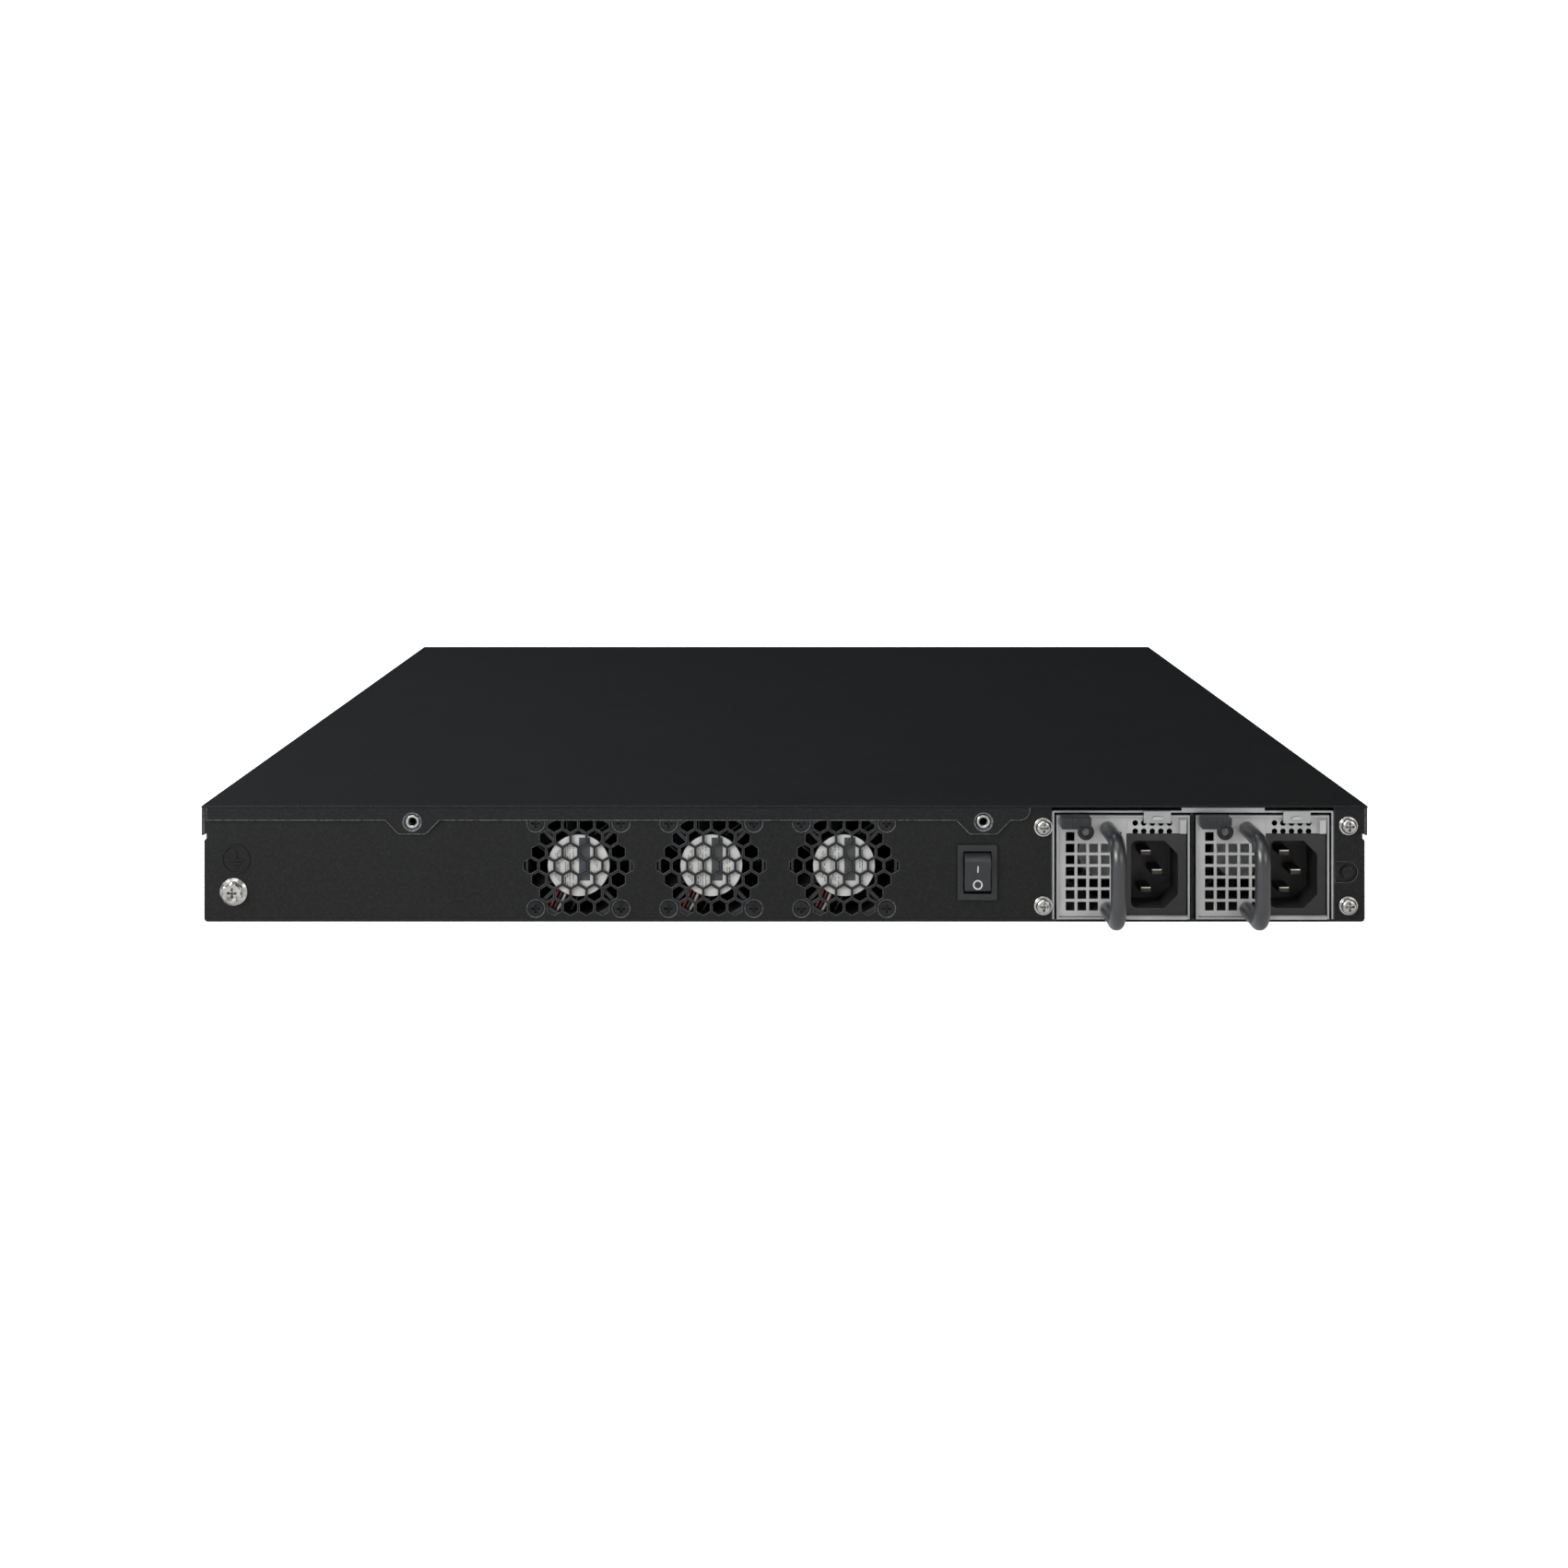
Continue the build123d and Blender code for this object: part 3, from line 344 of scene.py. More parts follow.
# bright zinc on cold-rolled sheet: grey, satin, with rolling streaks
ZINC_SHEET = RolledSheet(
    "zinc_plated_sheet", "zinc_plated_steel", "#B4B5B5", "#A9AAAB", 0.40, metallic=1.0, mottle_mm=30.0,
    grain_mm=0.7, depth_mm=0.008, swing=0.025,
)
# dull nickel on the supplies' fronts: an even pale grey without clear reflections
FRONT_SHEET = RolledSheet(
    "dull_nickel_front", "zinc_plated_steel", "#BABAB9", "#ACACAB", 0.55, metallic=0.85, mottle_mm=16.0,
    **FINE_GRAIN,
)
# nickel-plated screws: bright, with tumbling marks that soften the reflections
SCREW_NICKEL = Finish(
    "nickel_plated_screw", "nickel_screw", "#C6C5C2", "#ABAAA7", 0.24, metallic=1.0, mottle_mm=2.5,
    grain_mm=0.8, depth_mm=0.012, swing=0.10,
)
# black-oxide screws: near black metal with an oily sheen
SCREW_BLACK = Finish(
    "black_oxide_screw", "black_screw", "#2A2A2B", "#1C1C1D", 0.36, metallic=0.7, mottle_mm=2.5,
    grain_mm=0.6, depth_mm=0.01,
)
# nickel over brass blades and bushes: a warm bright metal, rubbed where things slide on it
BRASS_NICKEL = Finish(
    "nickel_on_brass", "brass_nickel", "#D8D4C8", "#B9B3A2", 0.22, metallic=1.0, mottle_mm=3.0, **FINE_GRAIN
)
# the inlets' blades: dark flats, a painted shade, with a painted highlight on the upper slope of each tip
BLADE_NICKEL = Finish(
    "painted_shade_nickel_blade", "brass_nickel", "#4A4843", "#3C3A36", 0.42, metallic=1.0, mottle_mm=2.0,
    wear_and_highlight="#E6E2D8", **FINE_GRAIN,
)
# selective gold on the jack contacts: a small warm gleam
CONTACT_GOLD = Finish(
    "gold_flashed_contact", "brass_nickel", "#E2B75A", "#CFA045", 0.25, metallic=1.0, mottle_mm=3.0,
    grain_mm=0.5, depth_mm=0.003,
)
# glass-filled PBT fan mouldings: black, faintly mottled by the fibres
FAN_PLASTIC = Finish(
    "black_pbt_moulding", "fan_black_pbt", "#121213", "#19191A", 0.45, mottle_mm=5.0, grain_mm=0.8
)
# dipped vinyl over the steel handle: rubbery, soft broad highlights
HANDLE_DIP = Finish(
    "dipped_vinyl_handle", "handle_rubber", "#232427", "#1D1E20", 0.33, specular=0.85, mottle_mm=9.0,
    depth_mm=0.03,
)
# nylon with a fine spark-eroded skin: the switch's bezel
SWITCH_NYLON = Finish(
    "black_nylon_bezel", "switch_nylon", "#131415", "#181A1B", 0.48, grain_mm=0.6, depth_mm=0.015
)
# the same nylon, polished paler by fingers: the rocker
ROCKER_NYLON = Finish(
    "black_nylon_rocker", "switch_nylon", "#202224", "#1B1D1F", 0.42, grain_mm=0.8, depth_mm=0.01
)
# the inlets' flame-retardant nylon: flat dark grey
INLET_NYLON = Finish("black_nylon_inlet", "inlet_nylon", "#18181A", "#1E1E20", 0.50, grain_mm=0.7)
# the release tabs' nylon, polished by fingers
LATCH_NYLON = Finish(
    "black_nylon_latch", "latch_nylon", "#1B1C1D", "#26272A", 0.40, mottle_mm=3.0, grain_mm=0.8, depth_mm=0.03
)
# the lamp's holder, a smooth black moulding
LAMP_BLACK = Finish("black_lamp_holder", "lamp_plastic", "#101011", "#161617", 0.35, grain_mm=0.7)
# a diffused grey lens that hides its diode
LAMP_LENS = Finish(
    "diffused_lamp_lens", "lamp_plastic", "#6E7072", "#5C5E60", 0.30, mottle_mm=1.5, grain_mm=0.6,
    depth_mm=0.005,
)
# pad-printed white ink, thin enough to look slightly uneven
MARK_WHITE = Finish(
    "white_pad_print", "switch_nylon", "#C4C6C7", "#B2B4B5", 0.55, mottle_mm=0.8, grain_mm=0.4
)
# coated paper labels, pale grey in the fans' shade
LABEL_PAPER = Finish(
    "coated_paper_label", "fan_black_pbt", "#B0B0AE", "#A6A6A4", 0.60, mottle_mm=6.0, grain_mm=0.5,
    depth_mm=0.008,
)
# the same paper, painted whiter on the supplies' small fans: a painted light that lifts them out of the deep
# shade they lie in
PAINTED_LIGHT_PAPER = replace(LABEL_PAPER, name="painted_light_paper_label", colour="#CFD0D2", shade="#BFC0C2")
# dark grey ink on the labels, a little uneven where it soaked in
LABEL_INK = Finish("label_ink", "fan_black_pbt", "#2B2C2E", "#38393B", 0.55, mottle_mm=1.2, grain_mm=0.5)
# PVC insulation in three colours: smooth, with a dull shine
WIRE_RED = Finish("red_pvc_wire", "wire_pvc", "#7C1A1C", "#6A1416", 0.42, mottle_mm=4.0, grain_mm=0.6)
WIRE_BLACK = replace(WIRE_RED, name="black_pvc_wire", colour="#141415", shade="#1A1A1B")
WIRE_PALE = replace(WIRE_RED, name="pale_pvc_wire", colour="#93857A", shade="#85776B", roughness=0.45)
# clear acrylic light pipes, polished at their ends
LIGHT_ACRYLIC = Clear(
    "clear_acrylic_rod", "clear_acrylic", "#F2F6F7", "#E8EEF0", 0.08, mottle_mm=5.0, swing=0.02
)
# green lacquer on the boards, glossy over the raised copper
BOARD_MASK = Laminate(
    "green_solder_mask", "fr4_green", "#14502E", "#17482C", 0.32, mottle_mm=18.0, depth_mm=0.03
)
# filled epoxy chip packages: matt black with a fine sand
CHIP_EPOXY = Finish("filled_epoxy_package", "chip_epoxy", "#1A1B1D", "#222325", 0.58, grain_mm=0.4)
# clear-anodised extrusion: pale satin metal with drawn lines along the fins
SINK_METAL = RolledSheet(
    "anodised_aluminium", "sink_aluminium", "#AEB1B4", "#A2A5A8", 0.42, metallic=1.0, grain_mm=0.8,
    depth_mm=0.01,
)
# the capacitors' printed PET sleeve: dark blue-grey film with a tight shine
CAN_SLEEVE = Finish("capacitor_sleeve", "capacitor_can", "#20242E", "#2A2F3A", 0.30, mottle_mm=8.0)
# undyed nylon headers, ivory and slightly waxy
HEADER_NYLON = Finish("natural_nylon", "connector_nylon", "#D9D3C3", "#CFC8B6", 0.48, mottle_mm=4.0)
# the jacks' moulded liners: black, so the mouths look deep
LINER_NYLON = Finish("black_jack_liner", "connector_nylon", "#121213", "#19191A", 0.42, mottle_mm=4.0)
# tin-plated jack shields and module cages: bright but soft
SHIELD_TIN = RolledSheet(
    "tin_plated_shield", "port_shield", "#C3C4C3", "#B0B1B1", 0.32, metallic=1.0, mottle_mm=9.0, **FINE_GRAIN
)
# the jacks' lamp windows, unlit: tinted plastic, glossy
LAMP_GREEN = Finish("green_lamp_window", "clear_acrylic", "#3D6B3B", "#345E33", 0.25, mottle_mm=1.0)
LAMP_AMBER = replace(LAMP_GREEN, name="amber_lamp_window", colour="#8A6A2A", shade="#7B5D22")

SLOT_FINISH = {
    finish.slot: finish
    for finish in (
        CASE_COAT, ZINC_SHEET, SCREW_NICKEL, SCREW_BLACK, BRASS_NICKEL, FAN_PLASTIC, HANDLE_DIP, SWITCH_NYLON,
        INLET_NYLON, LATCH_NYLON, LAMP_BLACK, LIGHT_ACRYLIC, BOARD_MASK, CHIP_EPOXY, SINK_METAL, CAN_SLEEVE,
        HEADER_NYLON, WIRE_BLACK, SHIELD_TIN,
    )
}


# ---------------------------------------------------------------- bench work
class Block(NamedTuple):
    """The box of a frame node, or of one of its solids, in millimetres."""

    low: Vector
    high: Vector

    @property
    def middle(self) -> Vector:
        """The box's centre."""
        return (self.low + self.high) / 2

    def seat(self, y: float, way: Way = Way.REAR) -> Matrix:
        """Stands a part over the box's middle, at a depth in the case."""
        return way.seat(self.middle.x, y, self.middle.z)


def box_mm(node: str) -> Block:
    """The box of a frame node."""
    return Block(*(corner * PER_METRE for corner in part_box(node)))


def add_object(name: str, data: bpy.types.ID) -> bpy.types.Object:
    """Makes an object of a mesh, a light or a camera, and links it to the scene.

    Args:
        name: the object's name.
        data: what it shows.

    Returns:
        The object, at the origin.
    """
    thing = bpy.data.objects.new(name, data)
    bpy.context.scene.collection.objects.link(thing)
    return thing


def merged_copy(node: str) -> Mesh:
    """A merged copy of a frame node's mesh.

    Args:
        node: the frame node's name.

    Returns:
        The mesh in millimetres, with flat faces joined.
    """
    shape = bmesh.new()
    shape.from_mesh(frame["nodes"][node].data)
    bmesh.ops.remove_doubles(shape, verts=shape.verts, dist=MERGE)
    bmesh.ops.scale(shape, vec=(PER_METRE,) * 3, verts=shape.verts)
    bmesh.ops.dissolve_limit(shape, angle_limit=FLAT_TURN, verts=shape.verts, edges=shape.edges)
    return shape


def solids_of(node: str) -> list[Block]:
    """The box of each separate solid in a frame node.

    Args:
        node: the frame node's name.

    Returns:
        The boxes, sorted by their lowest corners.
    """
    shape = merged_copy(node)
    left, blocks = set(shape.verts), []
    while left:
        island, fringe = set(), [left.pop()]
        while fringe:
            vert = fringe.pop()
            island.add(vert)
            near = {other for edge in vert.link_edges for other in edge.verts} & left
            left -= near
            fringe += near
        ends = [[pick(vert.co[n] for vert in island) for n in range(3)] for pick in (min, max)]
        blocks.append(Block(*map(Vector, ends)))
    shape.free()
    return sorted(blocks, key=lambda block: tuple(round(value, 2) for value in block.low))


def cross_reach(arm: float, half: float) -> Reach:
    """The outline of a cross-shaped driver recess.

    Args:
        arm: from the centre to an arm's end.
        half: half an arm's width.

    Returns:
        The distance from the centre at an angle.
    """

    def reach(angle: float) -> float:
        """The distance to the nearest arm's end or side."""
        turn = (angle + math.pi / 4) % (math.pi / 2) - math.pi / 4
        return min(arm / math.cos(turn), half / max(abs(math.sin(turn)), 1e-6))

    return reach


def hexagon_reach(across: float) -> Reach:
    """The outline of a hexagon.

    Args:
        across: the distance between its flats.

    Returns:
        The distance from the centre at an angle.
    """

    def reach(angle: float) -> float:
        """The distance to the nearest flat."""
        turn = (angle + math.pi / 6) % (math.pi / 3) - math.pi / 6
        return across / 2 / math.cos(turn)

    return reach


def bevel_edges(shape: Mesh, edges: Iterable, width: float, clamp: bool = True) -> None:
    """Rounds edges over, and gives the rounds the piece's edge material, a painted highlight where the finish
    has one.

    Args:
        shape: the mesh.
        edges: its edges.
        width: how far the round reaches, in millimetres.
        clamp: whether the shortest edge holds the width back.
    """
    made = bmesh.ops.bevel(
        shape, geom=list(edges), offset=width, offset_type="OFFSET", affect="EDGES", segments=2,
        profile=0.5, material=-1, clamp_overlap=clamp,
    )
    # the rounds take the painted edge highlight
    for face in made["faces"]:
        face.material_index = 1


def draw_out(shape: Mesh, loop: list, move: Callable[[Vector], Vector]) -> list:
    """Draws a shape on from its open end.

    Args:
        shape: the mesh.
        loop: the edges of its open end.
        move: where each corner of the end goes.

    Returns:
        The edges of the new end.
    """
    grown = bmesh.ops.extrude_edge_only(shape, edges=loop)["geom"]
    ends = {item for item in grown if isinstance(item, bmesh.types.BMVert)}
    for vert in ends:
        vert.co = move(vert.co)
    edges = [item for item in grown if isinstance(item, bmesh.types.BMEdge)]
    return [edge for edge in edges if set(edge.verts) <= ends]


@dataclass
class Piece:
    """One piece in the making, in millimetres: its finish, its body, and the nodes it stands for."""

    name: str
    finish: Finish
    body: str = "chassis"
    stands_for: Sequence[str] = ()
    shape: Mesh = field(default_factory=bmesh.new)

    def take(self, part: Mesh, seat: Matrix | None = None) -> None:
        """Adds a part to the piece and frees it.

        Args:
            part: the part's mesh.
            seat: where it stands, if it was made elsewhere.
        """
        if seat is not None:
            bmesh.ops.transform(part, matrix=seat, verts=part.verts)
        carrier = bpy.data.meshes.new("carrier")
        part.to_mesh(carrier)
        part.free()
        self.shape.from_mesh(carrier)
        bpy.data.meshes.remove(carrier)

    def add_node(self, node: str, edge: float, clamp: bool) -> "Piece":
        """Adds a copy of a frame node with its outer edges rounded over.

        Args:
            node: the frame node's name.
            edge: the round's width.
            clamp: whether the shortest edge holds the width back.

        Returns:
            The piece.
        """
        part = merged_copy(node)
        sharp = [e for e in part.edges if e.is_manifold and e.calc_face_angle_signed(0.0) > EDGE_TURN]
        bevel_edges(part, sharp, edge, clamp)
        self.take(part)
        return self

    def add_box(
        self, low: Sequence[float], high: Sequence[float], edge: float = 0.1, seat: Matrix | None = None
    ) -> "Piece":
        """Adds a block with rounded edges.

        Args:
            low: its lowest corner.
            high: its highest corner.
            edge: the round's width.
            seat: where it stands, if it was measured elsewhere.

        Returns:
            The piece.
        """
        part = bmesh.new()
        size = Vector(high) - Vector(low)
        stand = Matrix.Translation((Vector(low) + Vector(high)) / 2) @ Matrix.Diagonal((*size, 1.0))
        bmesh.ops.create_cube(part, size=1.0, matrix=stand)
        if edge:
            bevel_edges(part, part.edges, edge)
        self.take(part, seat)
        return self

    def add_turned(self, profile: Profile, seat: Matrix, closed: bool = False, steps: int = 48) -> "Piece":
        """Adds a part turned on a lathe.

        Args:
            profile: radius and height of each corner, from one end to the other.
            seat: where the part stands.
            closed: whether the profile runs back to its start, as on a ring.
            steps: faces around the part.

        Returns:
            The piece.
        """
        part = bmesh.new()
        verts = [part.verts.new((radius, 0.0, height)) for radius, height in profile]
        edges = [part.edges.new(pair) for pair in zip(verts, verts[1:])]
        if closed:
            edges.append(part.edges.new((verts[-1], verts[0])))
        bmesh.ops.spin(
            part, geom=verts + edges, cent=(0, 0, 0), axis=(0, 0, 1), dvec=(0, 0, 0), angle=math.tau,
            steps=steps, use_merge=True, use_duplicate=False,
        )
        bmesh.ops.remove_doubles(part, verts=part.verts, dist=1e-4)
        bmesh.ops.recalc_face_normals(part, faces=part.faces)
        self.take(part, seat)
        return self

    def add_rings(self, rings: Rings, seat: Matrix) -> "Piece":
        """Adds a part skinned over rings, each with its own outline.

        Args:
            rings: each ring's height, and its radius or its outline.
            seat: where the part stands.

        Returns:
            The piece.
        """
        part = bmesh.new()
        seed = bmesh.ops.create_circle(part, cap_ends=False, segments=RING_STEPS, radius=0.1)["verts"]
        loop = list({edge for vert in seed for edge in vert.link_edges})
        for vert in seed:
            vert.co.z = rings[0][0]
        bmesh.ops.holes_fill(part, edges=loop, sides=0)
        for height, reach in rings:

            def move(corner: Vector) -> Vector:
                """Puts a corner on the next ring, at its own angle.

                Args:
                    corner: where it is.

                Returns:
                    Where it goes.
                """
                angle = math.atan2(corner.y, corner.x)
                far = reach(angle) if callable(reach) else reach
                return Vector((far * math.cos(angle), far * math.sin(angle), height))

            loop = draw_out(part, loop, move)
        bmesh.ops.holes_fill(part, edges=loop, sides=0)
        bmesh.ops.recalc_face_normals(part, faces=part.faces)
        self.take(part, seat)
        return self

    def add_tube(self, points: Sequence[Sequence[float]], radius: float) -> "Piece":
        """Adds a round wire along a smooth line.

        Args:
            points: the line's control points.
            radius: the wire's radius.

        Returns:
            The piece.
        """
        line = bpy.data.curves.new("line", "CURVE")
        line.dimensions = "3D"
        line.bevel_depth, line.bevel_resolution, line.use_fill_caps = radius, 3, True
        spline = line.splines.new("NURBS")
        spline.points.add(len(points) - 1)
        for spot, point in zip(spline.points, points):
            spot.co = (*point, 1.0)
        spline.order_u, spline.use_endpoint_u, spline.resolution_u = 3, True, 6
        carrier = bpy.data.objects.new("line", line)
        mesh = bpy.data.meshes.new_from_object(carrier)
        self.shape.from_mesh(mesh)
        bpy.data.objects.remove(carrier)
        bpy.data.curves.remove(line)
        bpy.data.meshes.remove(mesh)
        return self

    def done(self, sharp: float = 38.0) -> bpy.types.Object:
        """Finishes the piece: its mesh in metres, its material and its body.

        Args:
            sharp: the least turn between two faces that stays a crease, in degrees.

        Returns:
            The piece's object.
        """
        bmesh.ops.scale(self.shape, vec=(MM,) * 3, verts=self.shape.verts)
        # finishes without a painted highlight keep their rounds in the plain material
        if not self.finish.wear_and_highlight:
            for face in self.shape.faces:
                face.material_index = 0
        mesh = bpy.data.meshes.new(self.name)
        self.shape.to_mesh(mesh)
        self.shape.free()
        if "custom_normal" in mesh.attributes:
            mesh.attributes.remove(mesh.attributes["custom_normal"])
        mesh.materials.append(self.finish.material())
        # the second material is the painted edge highlight
        if self.finish.wear_and_highlight:
            mesh.materials.append(self.finish.edge().material())
        mesh.shade_smooth()
        mesh.set_sharp_from_angle(angle=math.radians(sharp))
        thing = add_object(self.name, mesh)
        thing.modifiers.new("even_normals", "WEIGHTED_NORMAL").keep_sharp = True
        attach(thing, self.body)
        if self.stands_for:
            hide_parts(*self.stands_for)
        LOG.info("%s on %s: %d faces", self.name, self.body, len(mesh.polygons))
        return thing


def refine(
    node: str, finish: Finish, edge: float, body: str = "chassis", name: str = "", clamp: bool = False
) -> Piece:
    """Starts a piece that stands for one frame node, with its edges rounded over."""
    return Piece(name or f"{node}_shell", finish, body, (node,)).add_node(node, edge, clamp)


# ---------------------------------------------------------------- screws
class HeadShape(Enum):
    """The kinds of screw head on this case."""

    WASHER_DOME = "dome on a captive washer"
    FLUSH = "flush countersunk"
    HEX_FLANGE = "hexagon on a flange"


@dataclass(frozen=True)
class CrossScrew:
    """A screw with a cross recess. Its seat is where the head meets the sheet."""

    head: HeadShape
    head_r: float
    arm: float
    shank_r: float
    shank: float
    height: float = 0.0
    collar_r: float = 0.0
    collar: float = 0.0
    pitch: float = 0.5

    def recess(self, mouth: float) -> Rings:
        """The driver recess, from its mouth down to its tip.

        Args:
            mouth: the mouth's height.

        Returns:
            The recess's rings.
        """
        arm, half, depth = self.arm, self.arm * 0.26, self.arm * 1.1
        return [
            (mouth, cross_reach(arm, half)),
            (mouth - depth, cross_reach(arm * 0.78, half * 0.85)),
            (mouth - depth * 1.2, cross_reach(arm * 0.25, half * 0.5)),
        ]

    def rings(self) -> Rings:
        """The head, from its seat to the bottom of the recess.

        Returns:
            The head's rings.
        """
        r, top, rim, step = self.head_r, self.height, self.collar_r, self.collar
        match self.head:
            case HeadShape.WASHER_DOME:
                washer = [(0.0, rim - 0.1), (0.1, rim), (step - 0.1, rim), (step, rim - 0.12)]
                foot = [(step, r + 0.02), (step + 0.05, r - 0.05), (step + 0.2, r)]
                dome = ((0.62, 0.98), (0.78, 0.90), (0.9, 0.78), (0.965, 0.68))
                stack = washer + foot + [(top * up, r * across) for up, across in dome]
            case HeadShape.FLUSH:
                stack = [(-r * 0.42, self.shank_r), (-0.12, r - 0.04), (-0.04, r), (0.0, r - 0.1)]
                return [*stack, (0.0, r * 0.75), *self.recess(-0.03)]
            case HeadShape.HEX_FLANGE:
                hexagon = hexagon_reach(2 * r)
                flange = [(0.0, rim - 0.15), (0.12, rim), (0.5, rim - 0.05), (step, rim - 1.0)]
                cap = [(top, r * 0.93), (top, r * 0.82), (top - 0.3, r * 0.66)]
                stack = [*flange, (step, hexagon), (top - 0.35, hexagon), *cap]
        return stack + self.recess(stack[-1][0])

    def thread(self) -> Profile:
        """The shank, with a ridge for every turn of the thread.

        Returns:
            The shank's profile.
        """
        start = -self.head_r * 0.38 if self.head is HeadShape.FLUSH else 0.1
        turns = max(2, int((self.shank + start) / self.pitch))
        profile = [(0.0, start), (self.shank_r, start)]
        for n in range(turns):
            height = start - 0.4 - n * self.pitch
            profile += [(self.shank_r, height), (self.shank_r * 0.84, height - self.pitch / 2)]
        return profile + [(self.shank_r * 0.6, -self.shank), (0.0, -self.shank)]

    def build(self, name: str, finish: Finish, node: str, seat_of: Callable[[Block], Matrix]) -> None:
        """Builds one piece with a screw for each solid of a frame node.

        Args:
            name: the piece's name.
            finish: its finish.
            node: the frame node's name.
            seat_of: where the screw of a solid stands, turned out along its seat.
        """
        screws = Piece(name, finish, stands_for=(node,))
        for block in solids_of(node):
            seat = seat_of(block)
            screws.add_rings(self.rings(), seat)
            screws.add_turned(self.thread(), seat, steps=24)
        screws.done()


# ---------------------------------------------------------------- sheet case
@dataclass
class SheetCase:
    """The folded case of coated sheet steel, with its screws, bushes and earth point."""

    sheets: tuple[str, ...] = ("chassis_base", "rear_panel", "front_panel")
    cut_edge: float = 0.22
    cover_edge: float = 0.28
    nut_edge: float = 0.15
    symbol_offset: tuple[float, float] = (0.7, 12.2)
    symbol_r: float = 5.1
    stem: tuple[float, float] = (-0.2, 3.4)  # its ends
    bars: tuple[float, ...] = (2.9, 1.9, 0.9)  # half of each one's length
    bar_top: float = -0.3
    bar_pitch: float = 1.35
    line: float = 0.95
    emboss: float = 0.32
    side_screw: CrossScrew = CrossScrew(HeadShape.FLUSH, 2.75, 1.5, 1.45, 7.0)
    earth_screw: CrossScrew = CrossScrew(
        HeadShape.HEX_FLANGE, 3.5, 1.9, 1.95, 7.0, height=3.15, collar_r=5.2, collar=1.3, pitch=0.7
    )
    bush_r: float = 2.55
    bush_bore: float = 1.45
    bush_flange: float = 3.2
    bush_turns: int = 7
    bush_pitch: float = 0.7

    def build(self) -> None:
        """Builds every piece of the case."""
        for node in self.sheets:
            refine(node, CASE_COAT, self.cut_edge).done()
        refine("top_cover", COVER_COAT, self.cover_edge).done()
        self.build_symbol()
        self.build_screws()
        self.build_bushes()
        refine("clinch_nuts", ZINC_SHEET, self.nut_edge).done()

    def build_symbol(self) -> None:
        """The earth symbol pressed up in the rear panel, over its screw."""
        earth = box_mm("ground_screw").middle
        across, up = self.symbol_offset
        seat = Way.REAR.seat(earth.x + across, box_mm("rear_panel").low.y, earth.z + up)
        r, rise, line, half = self.symbol_r, self.emboss, self.line, self.line / 2
        symbol = Piece("earth_symbol", CASE_COAT)
        ring = [(r - half, ROOT), (r - line / 3, rise), (r + line / 3, rise), (r + half, ROOT)]
        symbol.add_turned(ring, seat, closed=True, steps=64)
        symbol.add_box((-half, self.stem[0], ROOT), (half, self.stem[1], rise), seat=seat)
        for step, reach in enumerate(self.bars):
            height = self.bar_top - self.bar_pitch * step
            symbol.add_box((-reach, height - half, ROOT), (reach, height + half, rise), seat=seat)
        # the pressed symbol gets no painted edge highlight
        for face in symbol.shape.faces:
            face.material_index = 0
        symbol.done()

    def build_screws(self) -> None:
        """The flush screws in both sides, and the earth screw."""

        def in_side(block: Block) -> Matrix:
            """Stands a screw on the side that its solid is nearest."""
            way, x = (Way.RIGHT, block.high.x) if block.middle.x > 0 else (Way.LEFT, block.low.x)
            return way.seat(x, block.middle.y, block.middle.z)

        self.side_screw.build("case_side_screws", SCREW_BLACK, "case_screws", in_side)
        seat = box_mm("ground_screw").seat(box_mm("rear_panel").low.y)
        self.earth_screw.build("earth_screw", SCREW_NICKEL, "ground_screw", lambda block: seat)

    def build_bushes(self) -> None:
        """The two threaded bushes behind the cover's tabs."""
        face, back = (corner.y for corner in box_mm("rear_panel"))
        r, bore, flange = self.bush_r, self.bush_bore, self.bush_flange
        bushes = Piece("cover_bushes", SCREW_NICKEL, stands_for=("cover_inserts",))
        for block in solids_of("cover_inserts"):
            top, seat_z, end = face - block.low.y, face - back, face - block.high.y
            profile = [(bore + 0.35, top), (r - 0.25, top), (r, top - 0.2), (r, seat_z)]
            profile += [(flange, seat_z), (flange, end), (bore, end)]
            for n in range(self.bush_turns):
                height = end + 0.3 + n * self.bush_pitch
                if height < top - self.bush_pitch:
                    profile += [(bore + 0.18, height), (bore, height + 0.3)]
            profile.append((bore, top - 0.35))
            bushes.add_turned(profile, block.seat(face), closed=True)
        bushes.done()


